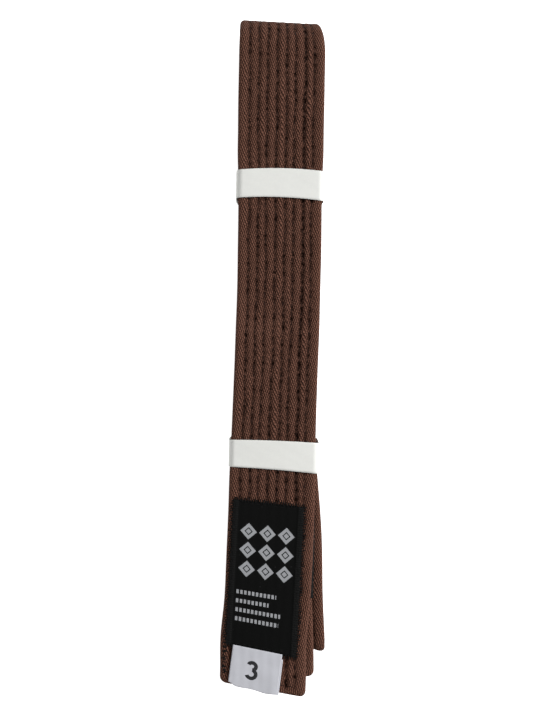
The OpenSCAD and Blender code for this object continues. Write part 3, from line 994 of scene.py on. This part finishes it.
def stitch_tree():
    """Geometry Nodes that lay a rounded thread on every point, along its run and up its way out."""
    tree = bpy.data.node_groups.new("Stitches", "GeometryNodeTree")
    face = tree.interface
    face.new_socket(name="Points", in_out="INPUT", socket_type="NodeSocketGeometry")
    for label in ("Length", "Width", "Height", "Unevenness"):
        face.new_socket(name=label, in_out="INPUT", socket_type="NodeSocketFloat")
    face.new_socket(name="Material", in_out="INPUT", socket_type="NodeSocketMaterial")
    face.new_socket(name="Stitches", in_out="OUTPUT", socket_type="NodeSocketGeometry")
    given, result = tree.nodes.new("NodeGroupInput"), tree.nodes.new("NodeGroupOutput")
    ball = tree.nodes.new("GeometryNodeMeshUVSphere")
    ball.inputs["Segments"].default_value = 8
    ball.inputs["Rings"].default_value = 5
    ball.inputs["Radius"].default_value = 0.5

    def direction(name):
        node = tree.nodes.new("GeometryNodeInputNamedAttribute")
        node.data_type = "FLOAT_VECTOR"
        node.inputs["Name"].default_value = name
        return node.outputs["Attribute"]

    def align(rotation, vector, axis, pivot):
        node = tree.nodes.new("FunctionNodeAlignRotationToVector")
        node.axis = axis
        node.pivot_axis = pivot
        if rotation is not None:
            tree.links.new(rotation, node.inputs["Rotation"])
        tree.links.new(vector, node.inputs["Vector"])
        return node.outputs["Rotation"]

    turned = align(None, direction("run"), "X", "AUTO")
    turned = align(turned, direction("out"), "Z", "X")
    draw = tree.nodes.new("FunctionNodeRandomValue")
    draw.data_type = "FLOAT"
    draw.inputs["Seed"].default_value = 11
    spread = maths(tree, "MULTIPLY", given.outputs["Unevenness"], -1.0)
    tree.links.new(spread, draw.inputs[2])
    tree.links.new(given.outputs["Unevenness"], draw.inputs[3])
    factor = maths(tree, "ADD", draw.outputs[1], 1.0)
    size = tree.nodes.new("ShaderNodeCombineXYZ")
    tree.links.new(maths(tree, "MULTIPLY", given.outputs["Length"], factor), size.inputs[0])
    tree.links.new(given.outputs["Width"], size.inputs[1])
    tree.links.new(given.outputs["Height"], size.inputs[2])
    lay = tree.nodes.new("GeometryNodeInstanceOnPoints")
    tree.links.new(given.outputs["Points"], lay.inputs["Points"])
    tree.links.new(ball.outputs["Mesh"], lay.inputs["Instance"])
    tree.links.new(turned, lay.inputs["Rotation"])
    tree.links.new(size.outputs[0], lay.inputs["Scale"])
    real = tree.nodes.new("GeometryNodeRealizeInstances")
    soft = tree.nodes.new("GeometryNodeSetShadeSmooth")
    paint = tree.nodes.new("GeometryNodeSetMaterial")
    tree.links.new(lay.outputs["Instances"], real.inputs[0])
    tree.links.new(real.outputs[0], soft.inputs[0])
    tree.links.new(soft.outputs[0], paint.inputs[0])
    tree.links.new(given.outputs["Material"], paint.inputs["Material"])
    tree.links.new(paint.outputs[0], result.inputs["Stitches"])
    return tree


def sew(name, points, runs, outs, material, values):
    """A plain mesh of stitches laid on points; values are the tree's inputs by name."""
    mesh = bpy.data.meshes.new(name + "_points")
    mesh.from_pydata(points.reshape(-1, 3).tolist(), [], [])
    for label, field in (("run", runs), ("out", outs)):
        attribute = mesh.attributes.new(label, "FLOAT_VECTOR", "POINT")
        attribute.data.foreach_set("vector", field.astype(np.float32).ravel())
    seed = bpy.data.objects.new(name + "_points", mesh)
    bpy.context.scene.collection.objects.link(seed)
    tree = shared("stitches", stitch_tree)
    modifier = seed.modifiers.new("Stitches", "NODES")
    modifier.node_group = tree
    for item in tree.interface.items_tree:
        if item.item_type == "SOCKET" and item.in_out == "INPUT":
            if item.name == "Material":
                modifier[item.identifier] = material
            elif item.name in values:
                modifier[item.identifier] = values[item.name]
    seed.update_tag()
    graph = bpy.context.evaluated_depsgraph_get()
    made = bpy.data.meshes.new_from_object(seed.evaluated_get(graph))
    bpy.data.objects.remove(seed)
    if not made.polygons:
        raise RuntimeError(f"no stitches were made for {name}")
    made.name = name
    piece = bpy.data.objects.new(name, made)
    bpy.context.scene.collection.objects.link(piece)
    return piece


def thread_size(length_along, width, height, unevenness):
    """The stitch tree's inputs for one kind of stitch."""
    return {"Length": length_along, "Width": width, "Height": height, "Unevenness": unevenness}


def black_thread():
    """The thread of the label and of the rank sleeve."""
    tone = bpy.context.scene.belt_colours.black
    return shared("black_thread", lambda: thread_material("Black Thread", tone))


def row_stitches(strap, side, start, end):
    """Points, run and way out of every stitch of a strap's rows, on one face, between two distances."""
    sizes = strap.sizes
    pitch = sizes.stitch_pitch
    first = math.ceil((start + strap.offset) / pitch)
    last = math.floor((end + strap.offset) / pitch) - 1
    middles = (np.arange(first, last + 1) + 0.5) * pitch - strap.offset
    points, runs, outs = [], [], []
    for index in range(sizes.row_count):
        u = strap.row(index, middles)
        point, out = strap.surface(middles, u, side, -0.02 * MM)
        drift = (strap.row(index, middles + MM) - u)[:, None] / MM
        points.append(point)
        runs.append(unit(strap.at(strap.tangent, middles) + strap.at(strap.across, middles) * drift))
        outs.append(out)
    return np.concatenate(points), np.concatenate(runs), np.concatenate(outs)


def join_stitches(*sets):
    """Several sets of stitches as one."""
    return [np.concatenate(part) for part in zip(*sets)]


# ---- Cloth that lies on the label end ----


def on_label_end(strap, x, y, lift):
    """Points at x and y, at a height above the label end's front face."""
    tip = slice(0, np.argmax(strap.points[:, 1] > 0.02))
    order = np.argsort(strap.points[tip, 1])
    ys = strap.points[tip, 1][order]
    middle = np.interp(y, ys, strap.points[tip, 0][order])
    height = np.interp(y, ys, strap.points[tip, 2][order])
    roll = np.interp(y, ys, strap.rolls[tip][order])
    u = x - middle
    sizes = strap.sizes
    turns = (u + sizes.width / 2 - sizes.row_inset) / row_pitch(sizes)
    channels = -CHANNEL_DEPTH * np.cos(2 * math.pi * turns)
    z = height + u * np.sin(roll) + sizes.thickness / 2 + channels + lift
    return np.stack([x, y, z], axis=-1)


def label_frame(labels):
    """The middle of the label's lower edge, and its ways right and up, from the tag's hinge."""
    right = np.array([-TAG_TURN[0], -TAG_TURN[1]])
    up = np.array([-right[1], right[0]])
    foot = np.array(TAG_AXIS[:2]) - labels.tag_offset * right + LABEL_FOOT_RISE * up
    turn = -labels.foot_slant
    cos, sin = math.cos(turn), math.sin(turn)
    x_way = np.array([right[0] * cos - right[1] * sin, right[0] * sin + right[1] * cos])
    return foot, x_way, np.array([-x_way[1], x_way[0]])


def label_point(labels, p, share):
    """Place on the label's plane at p across and a share of the way from its foot to its head."""
    foot = p * math.tan(labels.foot_slant)
    head = labels.height + p * math.tan(labels.head_slant)
    q = foot + (head - foot) * share
    origin, right, up = label_frame(labels)
    return origin + np.multiply.outer(p, right) + np.multiply.outer(q, up)


def closed_sheet(name, top, bottom, uv):
    """A closed sheet from two grids of points, with the same UV on both faces."""
    rows, columns = top.shape[:2]
    faces = sheet_faces(rows, columns)
    points = np.concatenate([top.reshape(-1, 3), bottom.reshape(-1, 3)])
    return mesh_object(name, points, faces, uv.reshape(-1, 2)[faces % (rows * columns)])


def build_label(strap, labels):
    """The label, with its raised edge strips."""
    half, strip = labels.width / 2, labels.edge_width
    inner = np.linspace(-half + strip + 0.25 * MM, half - strip - 0.25 * MM, 40)
    edge = np.array([0, 0.12, 0.6, 1.3, 2.0, 2.45]) * MM
    p = np.concatenate([-half + edge, inner, half - edge[::-1]])
    share = np.concatenate([[0, 0.003], np.linspace(0.012, 0.988, 90), [0.997, 1]])
    P, S = np.meshgrid(p, share)
    plan = label_point(labels, P, S)
    raised = smooth((np.abs(P) - half + strip + 0.15 * MM) / (0.3 * MM))
    rim = smooth((half - np.abs(P)) / (0.25 * MM))
    ends = smooth(np.minimum(S, 1 - S) / 0.006)
    inward, along = half - np.abs(P), S * labels.height
    pucker = 0.09 * MM * ripple(60, along + 3 * P, 0.0061, 0.0113) * smooth(1 - inward / (6 * MM))
    lift = labels.thickness + raised * labels.edge_rise + pucker
    lift = lift - 0.22 * MM * (1 - rim) - 0.2 * MM * (1 - ends)
    edge_wave = 0.12 * MM * ripple(61, along, 0.0047, 0.0089) * smooth(1 - inward / (3 * MM))
    x, y = plan[..., 0] + edge_wave, plan[..., 1]
    top = on_label_end(strap, x, y, lift)
    bottom = on_label_end(strap, x, y, 0.03 * MM + 0 * lift)
    uv = np.stack([P, along], axis=-1)
    return closed_sheet("woven_label", top, bottom, uv)


def overcast(strap, labels):
    """Short ragged stitches over the label's edges."""
    draws = np.random.default_rng(5)
    half = labels.width / 2
    step = 1.25 * MM
    points, runs = [], []
    down = np.arange(0.5 * step, labels.height, step)
    over = np.arange(-half + 0.5 * step, half, step)
    sides = [(np.full(down.shape, sign * half), down / labels.height, sign, 0) for sign in (-1, 1)]
    sides += [(over, np.full(over.shape, float(end > 0)), 0, end) for end in (-1, 1)]
    _, right, up = label_frame(labels)
    for p, share, out_x, out_y in sides:
        jitter = draws.uniform(-1, 1, (len(p), 3))
        plan = label_point(labels, p + jitter[:, 0] * 0.2 * MM, share)
        outward = right * out_x + up * out_y
        sideways = np.array([-outward[1], outward[0]])
        plan = plan + outward * (0.4 * MM + 0.2 * MM * jitter[:, 1:2])
        run = outward + sideways * (0.55 * jitter[:, 2:3] + 0.25)
        point = on_label_end(strap, plan[:, 0], plan[:, 1], np.full(len(p), 0.36 * MM))
        slope = np.full((len(p), 1), -0.22)
        points.append(point)
        runs.append(unit(np.concatenate([run, slope], axis=1)))
    # Loose stitches left of the tag, where the seam runs on past the label's corner.
    count = 16
    jitter = draws.uniform(-1, 1, (count, 3))
    plan = label_point(labels, np.full(count, -half), 0.0)
    plan = plan - np.outer(np.linspace(1, 14, count) * MM, up)
    plan = plan + jitter[:, :2] * (0.8 * MM)
    point = on_label_end(strap, plan[:, 0], plan[:, 1], np.full(count, 0.12 * MM))
    points.append(point)
    run = right + 0.9 * jitter[:, 1:2] * up
    runs.append(unit(np.concatenate([run, np.zeros((count, 1))], axis=1)))
    points = np.concatenate(points)
    return points, np.concatenate(runs), np.tile([0.0, 0, 1], (len(points), 1))


def label_seams(strap, labels):
    """Straight seam just inside the label's edges."""
    inset = 1.3 * MM
    half = labels.width / 2 - inset
    pitch = 3 * MM
    shares = np.arange(inset + pitch / 2, labels.height - inset, pitch) / labels.height
    over = np.arange(-half + pitch / 2, half, pitch)
    sets = [(np.full(shares.shape, sign * half), shares, True) for sign in (-1, 1)]
    sets += [(over, np.full(over.shape, share), False) for share in (0.018, 0.982)]
    _, right, up = label_frame(labels)
    points, runs = [], []
    for p, share, lengthwise in sets:
        plan = label_point(labels, p, share)
        rise = labels.thickness + (labels.edge_rise if lengthwise else 0) + 0.04 * MM
        points.append(on_label_end(strap, plan[:, 0], plan[:, 1], np.full(len(p), rise)))
        way = up if lengthwise else right
        runs.append(np.tile([way[0], way[1], 0.0], (len(p), 1)))
    points = np.concatenate(points)
    return points, np.concatenate(runs), np.tile([0.0, 0, 1], (len(points), 1))


# ---- Size tag ----


def tag_point(strap, labels, p, q, lift):
    """Place on the tag at p across and q below its sewn edge, at a height above the tag's top ply."""
    right = np.array([-TAG_TURN[0], -TAG_TURN[1]])
    up = np.array([-right[1], right[0]])
    lean = math.tan(labels.tag_lean)
    plan = np.array(TAG_AXIS[:2]) + np.multiply.outer(p + q * lean, right) - np.multiply.outer(q, up)
    share = q / labels.tag_length
    wave = 0.35 * MM * share**2 * ripple(70, p + 0.5 * q, 0.019, 0.034)
    curl = 0.5 * MM * smooth(share * 1.4) + 0.9 * MM * share**3 * smooth((p - 4 * MM) / (9 * MM))
    base = labels.thickness + 0.25 * MM * smooth(1 - share * 3)
    return on_label_end(strap, plan[..., 0], plan[..., 1], base + wave + curl + lift)


def build_tag(strap, labels):
    """The tag: a ribbon folded back under itself, its lower ply a little to the right."""
    ply, reach = labels.tag_ply, labels.tag_length
    fold = 0.34 * MM
    turn = np.linspace(0, math.pi, 9)
    top_q = np.linspace(-1.0 * MM, reach - fold, 40)
    low_q = np.linspace(reach - fold, 1.5 * MM, 24)
    q = np.concatenate([top_q, reach - fold + fold * np.sin(turn[1:-1]), low_q])
    z = np.concatenate([np.zeros(40), fold * (np.cos(turn[1:-1]) - 1), np.full(24, -2 * fold)])
    out_q = np.concatenate([np.zeros(40), np.sin(turn[1:-1]), np.zeros(24)])
    out_z = np.concatenate([np.ones(40), np.cos(turn[1:-1]), -np.ones(24)])
    under = np.concatenate([np.zeros(40), np.linspace(0, 1, 7), np.ones(24)])
    half = labels.tag_width / 2
    p = np.linspace(-half, half, 46)
    P, Q = np.meshgrid(p, q)
    corner = 1.5 * MM * np.exp(-((P + half) / (2.2 * MM)) ** 2)
    corner = corner + 0.35 * MM * ripple(71, P, 0.012, 0.021)
    Q = Q - corner * smooth((Q - 9 * MM) / (9 * MM))
    P = P + under[:, None] * 0.7 * MM
    grids = []
    for sign in (0.5, -0.5):
        grids.append(tag_point(
            strap, labels, P, Q + sign * ply * out_q[:, None], z[:, None] + sign * ply * out_z[:, None]
        ))
    along = np.concatenate([[0], np.cumsum(np.hypot(np.diff(q), np.diff(z)))])
    uv = np.stack([P, np.repeat(along[:, None], len(p), axis=1)], axis=-1)
    return closed_sheet("size_tag_ribbon", grids[0], grids[1], uv)


def build_numeral(strap, labels):
    """A plain bold size numeral, as two bowls of ink on the tag's top ply."""
    stroke, lift = 1.65 * MM, labels.tag_ply / 2 + 0.03 * MM
    centre_p, centre_q = -1.6 * MM, 9.2 * MM
    upper = np.radians(np.linspace(158, -82, 34))
    lower = np.radians(np.linspace(82, -158, 38))
    small, large = 1.7 * MM, 2.0 * MM
    bowls = [(upper, small, small + 0.1 * MM), (lower, large, -large + 0.1 * MM)]
    points, faces, count = [], [], 0
    for turn, radius, middle in bowls:
        shares = np.linspace(-0.5, 0.5, 5)
        T, W = np.meshgrid(turn, shares, indexing="ij")
        r = radius + W * stroke
        p = centre_p + 1.12 * r * np.cos(T)
        q = centre_q - (middle + r * np.sin(T))
        top = tag_point(strap, labels, p, q, lift)
        low = tag_point(strap, labels, p, q, lift - 0.08 * MM)
        points += [top.reshape(-1, 3), low.reshape(-1, 3)]
        faces.append(sheet_faces(len(turn), len(shares)) + count)
        count += 2 * len(turn) * len(shares)
    return mesh_object("size_numeral", np.concatenate(points), np.concatenate(faces)[:, ::-1])


# ---- Rank sleeve and paper bands ----


def build_sleeve(strap, top, bottom, cloth):
    """The sleeve: a tube of cloth round run two between two places along the belt."""
    sizes = strap.sizes
    s_top = np.interp(-top, -strap.points[:, 1], strap.along)
    s_bottom = np.interp(-bottom, -strap.points[:, 1], strap.along)
    s = np.linspace(s_top, s_bottom, 90)
    stations = strap.section()
    u = np.array([station[0] for station in stations])
    share = np.array([station[1] for station in stations])
    S = s[:, None]
    depth, _ = strap.depth(S, u[None, :])
    place = strap.squeeze(S, u[None, :])
    wrinkle = 0.07 * MM * ripple(80, S + u[None, :] * 0.4, 0.012, 0.023)
    grids = []
    for gap in (0.06 * MM + cloth, 0.06 * MM):
        wide = place * (1 + gap / (sizes.width / 2))
        height = share * (sizes.thickness / 2 - 0.45 * depth + gap + wrinkle)
        aside = strap.at(strap.across, s)[:, None, :] * wide[..., None]
        centre = strap.at(strap.points, s)[:, None, :] + aside
        rise = strap.at(strap.normal, s)[:, None, :] * height[..., None]
        grids.append(np.concatenate([centre + rise, (centre - rise)[:, ::-1]], axis=1))
    return closed_tube("rank_sleeve_cloth", grids[0], grids[1], s)


def closed_tube(name, outer, inner, v):
    """A tube with a wall, from an outer and an inner closed grid."""
    rows, columns = outer.shape[:2]
    count = rows * columns
    steps = np.linalg.norm(np.diff(outer[rows // 2], axis=0), axis=1)
    u = np.concatenate([[0], np.cumsum(steps), [np.sum(steps) + MM]])
    faces = grid_faces(rows, columns, True)
    uv = corner_uv(faces, columns, u, v)
    j = np.arange(columns)
    k = (j + 1) % columns
    last = (rows - 1) * columns
    start = np.stack([j + count, k + count, k, j], axis=1)
    end = np.stack([j + last, k + last, k + last + count, j + last + count], axis=1)
    rims = np.concatenate([start, end])
    rim_uv = np.stack([u[rims % columns], v[(rims % count) // columns]], axis=-1)
    all_faces = np.concatenate([faces, faces[:, ::-1] + count, rims])
    all_uv = np.concatenate([uv, uv[:, ::-1], rim_uv])
    points = np.concatenate([outer.reshape(-1, 3), inner.reshape(-1, 3)])
    return mesh_object(name, points, all_faces[:, ::-1], all_uv[:, ::-1])


def band_path(bands, low, high, left_half, right_half):
    """The band's middle line round the bundle, from inner end to outer one, and its ways out."""
    paper, corner = bands.paper, bands.corner
    left, right = paper / 2 - left_half, right_half - paper / 2
    floor, top = low.z + paper / 2, high.z - paper / 2
    middle = (floor + top) / 2
    lap = bands.overlap / 2
    corners = [
        (left, top, 180, 90), (right, top, 90, 0), (right, floor, 0, -90), (left, floor, -90, -180)
    ]
    path, outs = [[left, middle - lap]], [[-1.0, 0.0]]
    for x, z, start, end in corners:
        side = 1 if x > 0 else -1
        rise = 1 if z == top else -1
        cx, cz = x - side * corner, z - rise * corner
        for turn in np.radians(np.linspace(start, end, 9)):
            path.append([cx + corner * math.cos(turn), cz + corner * math.sin(turn)])
            outs.append([math.cos(turn), math.sin(turn)])
    step_out = left - paper - bands.glue
    path += [[left, middle - lap - 2 * paper], [step_out, middle - lap], [step_out, middle + lap]]
    outs += [[-1.0, 0.0]] * 3
    return np.array(path), np.array(outs)


def build_band(name, bands, drop, bow, slant, flare, left_half, right_half):
    """A strip of paper glued into a loop, a little bowed and slanted as it was wrapped by hand."""
    low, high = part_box(name)
    centre_y = (low.y + high.y) / 2
    path, outs = band_path(bands, low, high, left_half, right_half)
    along = np.concatenate([[0], np.cumsum(np.linalg.norm(np.diff(path, axis=0), axis=1))])
    even = np.linspace(0, along[-1], 260)
    even = np.unique(np.concatenate([even, along]))
    path = np.stack([np.interp(even, along, path[:, i]) for i in (0, 1)], axis=1)
    outs = unit(np.stack([np.interp(even, along, outs[:, i]) for i in (0, 1)], axis=1))
    y = np.linspace(-0.5, 0.5, 15) * bands.width
    E, Y = np.meshgrid(even, y, indexing="ij")
    x_share = path[:, :1] / right_half
    on_top = smooth((path[:, 1:] / high.z - 0.5) * 4)
    shift = drop + on_top * (bow * (0.5 - x_share**2) + slant * x_share)
    wide = Y * (1 + flare * x_share * on_top) + shift
    swell = 0.16 * MM * on_top * (1 - x_share**2) + 0.035 * MM * ripple(90, E + 2 * Y, 0.011, 0.027)
    swell = np.maximum(swell, 0)
    half = bands.paper / 2
    grids = []
    for sign in (1, -1):
        reach = swell + sign * half
        x = path[:, :1] + outs[:, :1] * reach
        z = np.maximum(path[:, 1:] + outs[:, 1:] * reach, low.z)
        grids.append(np.stack([x + 0 * wide, centre_y + wide, z + 0 * wide], axis=-1))
    uv = np.stack([E, Y], axis=-1)
    return closed_sheet(name + "_paper", grids[0][:, ::-1], grids[1][:, ::-1], uv[:, ::-1]), along[-1]


def build_glue(node, bands, left_half):
    """The spot of glue between a band's two ends, thicker in the middle than at its rim."""
    low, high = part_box(node)
    Z, Y = np.meshgrid(np.linspace(low.z, high.z, 17), np.linspace(low.y, high.y, 15), indexing="ij")
    rim = np.minimum(np.minimum(Z - low.z, high.z - Z), np.minimum(Y - low.y, high.y - Y))
    swell = smooth(rim / (2 * MM)) * 0.5 + 0.4
    half = bands.glue / 2 * swell
    middle = -left_half - bands.glue / 2
    outer, inner = (np.stack([middle + side * half, Y, Z], axis=-1) for side in (-1, 1))
    uv = np.stack([Y, Z], axis=-1)
    return closed_sheet(node + "_spot", outer, inner, uv)


# ---- Operators ----


class BELT_OT_front_run(bpy.types.Operator):
    """Build run one, the outer fold and run eight, with run one's tip rising from the label end's lift
    axis
    """

    bl_idname = "belt.front_run"
    bl_label = "Front Run"

    def execute(self, context):
        sizes = context.scene.belt_sizes
        strap = front_strap(sizes)
        piece = strap.build("belt_front_run")
        finish_piece(piece, shared("cover", cover_material), None)
        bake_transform(piece)
        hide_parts("label_end_cover", *[f"label_end_ply_{i}" for i in (1, 2, 3)])
        return {"FINISHED"}


class BELT_OT_back_runs(bpy.types.Operator):
    """Build the folded runs under run one, and the rank end"""

    bl_idname = "belt.back_runs"
    bl_label = "Back Runs"

    def execute(self, context):
        sizes = context.scene.belt_sizes
        cover = shared("cover", cover_material)
        inner = inner_strap(sizes).build("belt_back_runs")
        finish_piece(inner, cover, "bundle")
        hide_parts("cover", *[f"core_ply_{i}" for i in (1, 2, 3)])
        rank = rank_strap(sizes).build("belt_rank_end")
        finish_piece(rank, cover, "bundle")
        return {"FINISHED"}


class BELT_OT_stitching(bpy.types.Operator):
    """Sew the rows along the belt's visible faces, and the seams across its tips"""

    bl_idname = "belt.stitching"
    bl_label = "Stitching"

    def execute(self, context):
        sizes = context.scene.belt_sizes
        tones = context.scene.belt_colours
        thread = shared("thread", lambda: thread_material("Brown Thread", tones.thread))
        front = front_strap(sizes)
        values = thread_size(sizes.stitch_pitch * 0.72, sizes.thread, sizes.thread * 0.7, 0.08)
        margin = 5 * MM
        lifted_back = LIFT_AXIS[1] - LABEL_END_LOW.y + 40 * MM
        sets = join_stitches(
            row_stitches(front, 1, margin, front.length - MM),
            row_stitches(front, -1, margin, lifted_back),
            tip_seam(front, 0.0),
        )
        piece = sew("front_run_stitches", *sets, thread, values)
        finish_piece(piece, thread, None)
        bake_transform(piece)
        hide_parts("label_end_rows", "label_end_seam")
        rank = rank_strap(sizes)
        inner = inner_strap(sizes)
        first_run = UPPER_BAND_Y + sizes.back_fold
        sets = join_stitches(
            row_stitches(rank, 1, MM, rank.length - margin),
            row_stitches(rank, -1, MM, rank.length - margin),
            row_stitches(inner, 1, MM, first_run),
            tip_seam(rank, rank.length),
        )
        piece = sew("bundle_stitches", *sets, thread, values)
        finish_piece(piece, thread, "bundle")
        rows = [f"stitch_row_{i + 1}" for i in range(sizes.row_count)]
        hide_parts(*rows, "rank_end_seam")
        return {"FINISHED"}


def tip_seam(strap, end):
    """A seam across a tip, on both faces, one stitch between each pair of rows."""
    sizes = strap.sizes
    s = abs(end - 4 * MM)
    u = (np.arange(sizes.row_count - 1) - sizes.row_count / 2 + 1) * row_pitch(sizes)
    places = np.full(u.shape, s)
    sets = []
    for side in (1, -1):
        point, out = strap.surface(places, u, side, -0.03 * MM)
        slant = strap.slant(places)[:, None]
        tangent = strap.at(strap.tangent, places)
        point = point - tangent * slant * u[:, None]
        sets.append((point, unit(strap.at(strap.across, places) - tangent * slant), out))
    return join_stitches(*sets)


class BELT_OT_rank_sleeve(bpy.types.Operator):
    """Build the black sleeve round the rank end, and its two seams"""

    bl_idname = "belt.rank_sleeve"
    bl_label = "Rank Sleeve"

    def execute(self, context):
        sizes = context.scene.belt_sizes
        strap = rank_strap(sizes)
        low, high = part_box("rank_sleeve")
        piece = build_sleeve(strap, high.y, low.y, SLEEVE_CLOTH)
        finish_piece(piece, shared("sleeve", sleeve_material), "bundle")
        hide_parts("rank_sleeve")
        black = black_thread()
        half = sizes.width / 2 - SLEEVE_SEAM_INSET
        u = np.arange(-half, half, 2.2 * MM)
        sets = []
        for y in (high.y - SLEEVE_SEAM_INSET, low.y + SLEEVE_SEAM_INSET):
            s = np.full(u.shape, np.interp(-y, -strap.points[:, 1], strap.along))
            for side in (1, -1):
                point, out = strap.surface(s, u, side, SLEEVE_CLOTH + 0.14 * MM)
                sets.append((point, strap.at(strap.across, s), out))
        values = thread_size(1.7 * MM, 0.4 * MM, 0.32 * MM, 0.1)
        seam = sew("sleeve_stitches", *join_stitches(*sets), black, values)
        finish_piece(seam, black, "bundle")
        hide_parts("rank_sleeve_stitching")
        return {"FINISHED"}


class BELT_OT_label(bpy.types.Operator):
    """Build the woven label and the stitches round it"""

    bl_idname = "belt.label"
    bl_label = "Label"

    def execute(self, context):
        sizes, labels = context.scene.belt_sizes, context.scene.label_sizes
        strap = front_strap(sizes)
        piece = build_label(strap, labels)
        finish_piece(piece, shared("label", label_material), "label_end")
        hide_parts("label")
        black = black_thread()
        values = thread_size(2.4 * MM, 0.55 * MM, 0.5 * MM, 0.45)
        edge = sew("label_overcast", *overcast(strap, labels), black, values)
        finish_piece(edge, black, "label_end")
        values = thread_size(2.3 * MM, 0.36 * MM, 0.26 * MM, 0.1)
        seam = sew("label_seam", *label_seams(strap, labels), black, values)
        finish_piece(seam, black, "label_end")
        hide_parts("label_stitching")
        return {"FINISHED"}


class BELT_OT_size_tag(bpy.types.Operator):
    """Build the folded size tag and its numeral"""

    bl_idname = "belt.size_tag"
    bl_label = "Size Tag"

    def execute(self, context):
        sizes, labels = context.scene.belt_sizes, context.scene.label_sizes
        strap = front_strap(sizes)
        piece = build_tag(strap, labels)
        finish_piece(piece, shared("tag", tag_material), None)
        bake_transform(piece)
        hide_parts("size_tag")
        numeral = build_numeral(strap, labels)
        finish_piece(numeral, shared("ink", ink_material), "size_tag")
        return {"FINISHED"}


class BELT_OT_paper_bands(bpy.types.Operator):
    """Build the two paper bands round the bundle"""

    bl_idname = "belt.paper_bands"
    bl_label = "Paper Bands"

    def execute(self, context):
        bands = context.scene.band_sizes
        paper = shared("paper", paper_material)
        glue = shared("glue", glue_material)
        for name, shape in BAND_SHAPES.items():
            piece, girth = build_band(name, bands, *shape)
            finish_piece(piece, paper, name)
            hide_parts(name)
            left_half = shape[4]
            spot = build_glue(name + "_glue", bands, left_half)
            finish_piece(spot, glue, name)
            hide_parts(name + "_glue")
        return {"FINISHED"}


class BELT_OT_stage(bpy.types.Operator):
    """Set the pale floor, the soft light and the camera"""

    bl_idname = "belt.stage"
    bl_label = "Stage"

    def execute(self, context):
        scene = context.scene
        bpy.ops.mesh.primitive_plane_add(size=FLOOR_SIZE)
        floor = context.object
        floor.name = "floor"
        material, _, shader = new_material("Pale Floor", 0.9, specular=0.1)
        shader.inputs["Base Color"].default_value = (0.97, 0.97, 0.97, 1)
        shader.inputs["Emission Color"].default_value = (1, 1, 1, 1)
        shader.inputs["Emission Strength"].default_value = FLOOR_GLOW
        floor.data.materials.append(material)
        world = bpy.data.worlds.new("Soft Light")
        world.use_nodes = True
        sky = world.node_tree.nodes["Background"]
        sky.inputs["Color"].default_value = (1, 1, 1, 1)
        sky.inputs["Strength"].default_value = WORLD_LIGHT
        scene.world = world
        target = (CAD_BOX[0] + CAD_BOX[1]) / 2
        for name, place, size, power in LAMPS:
            lamp = bpy.data.lights.new(name, "AREA")
            lamp.size = size
            lamp.energy = power
            holder = bpy.data.objects.new(name, lamp)
            holder.location = place
            way = target - holder.location
            holder.rotation_euler = way.to_track_quat("-Z", "Y").to_euler()
            scene.collection.objects.link(holder)
        camera = bpy.data.cameras.new("camera")
        camera.sensor_width = SENSOR
        camera.lens = SENSOR * VIEW_DISTANCE / VIEW_HEIGHT
        camera.clip_start = 0.01
        holder = bpy.data.objects.new("camera", camera)
        holder.location = (*VIEW_MIDDLE, COVER_HIGH.z + VIEW_DISTANCE)
        holder.rotation_euler = (0, 0, VIEW_ROLL)
        scene.collection.objects.link(holder)
        scene.camera = holder
        scene.view_settings.view_transform = "Standard"
        return {"FINISHED"}


class BELT_PT_sidebar(bpy.types.Panel):
    """Lists the belt's steps and sizes"""

    bl_idname = "BELT_PT_sidebar"
    bl_label = "Martial Arts Belt"
    bl_space_type = "VIEW_3D"
    bl_region_type = "UI"
    bl_category = "Belt"

    def draw(self, context):
        for step in STEPS:
            self.layout.operator(step.bl_idname)
        for group in (context.scene.belt_sizes, context.scene.label_sizes, context.scene.band_sizes,
                      context.scene.belt_colours):
            box = self.layout.box()
            for name in group.__annotations__:
                box.prop(group, name)


STEPS = (
    BELT_OT_stage,
    BELT_OT_front_run,
    BELT_OT_back_runs,
    BELT_OT_stitching,
    BELT_OT_rank_sleeve,
    BELT_OT_label,
    BELT_OT_size_tag,
    BELT_OT_paper_bands,
)
SETTINGS = {
    "belt_sizes": BeltSizes,
    "label_sizes": LabelSizes,
    "band_sizes": BandSizes,
    "belt_colours": BeltColours,
}


def register():
    for kind in (*SETTINGS.values(), *STEPS, BELT_PT_sidebar):
        bpy.utils.register_class(kind)
    for name, kind in SETTINGS.items():
        setattr(bpy.types.Scene, name, PointerProperty(type=kind))


def unregister():
    for name in SETTINGS:
        delattr(bpy.types.Scene, name)
    for kind in reversed((*SETTINGS.values(), *STEPS, BELT_PT_sidebar)):
        bpy.utils.unregister_class(kind)


def main():
    register()
    for step in STEPS:
        module, name = step.bl_idname.split(".")
        getattr(getattr(bpy.ops, module), name)()


if __name__ == "__main__":
    main()
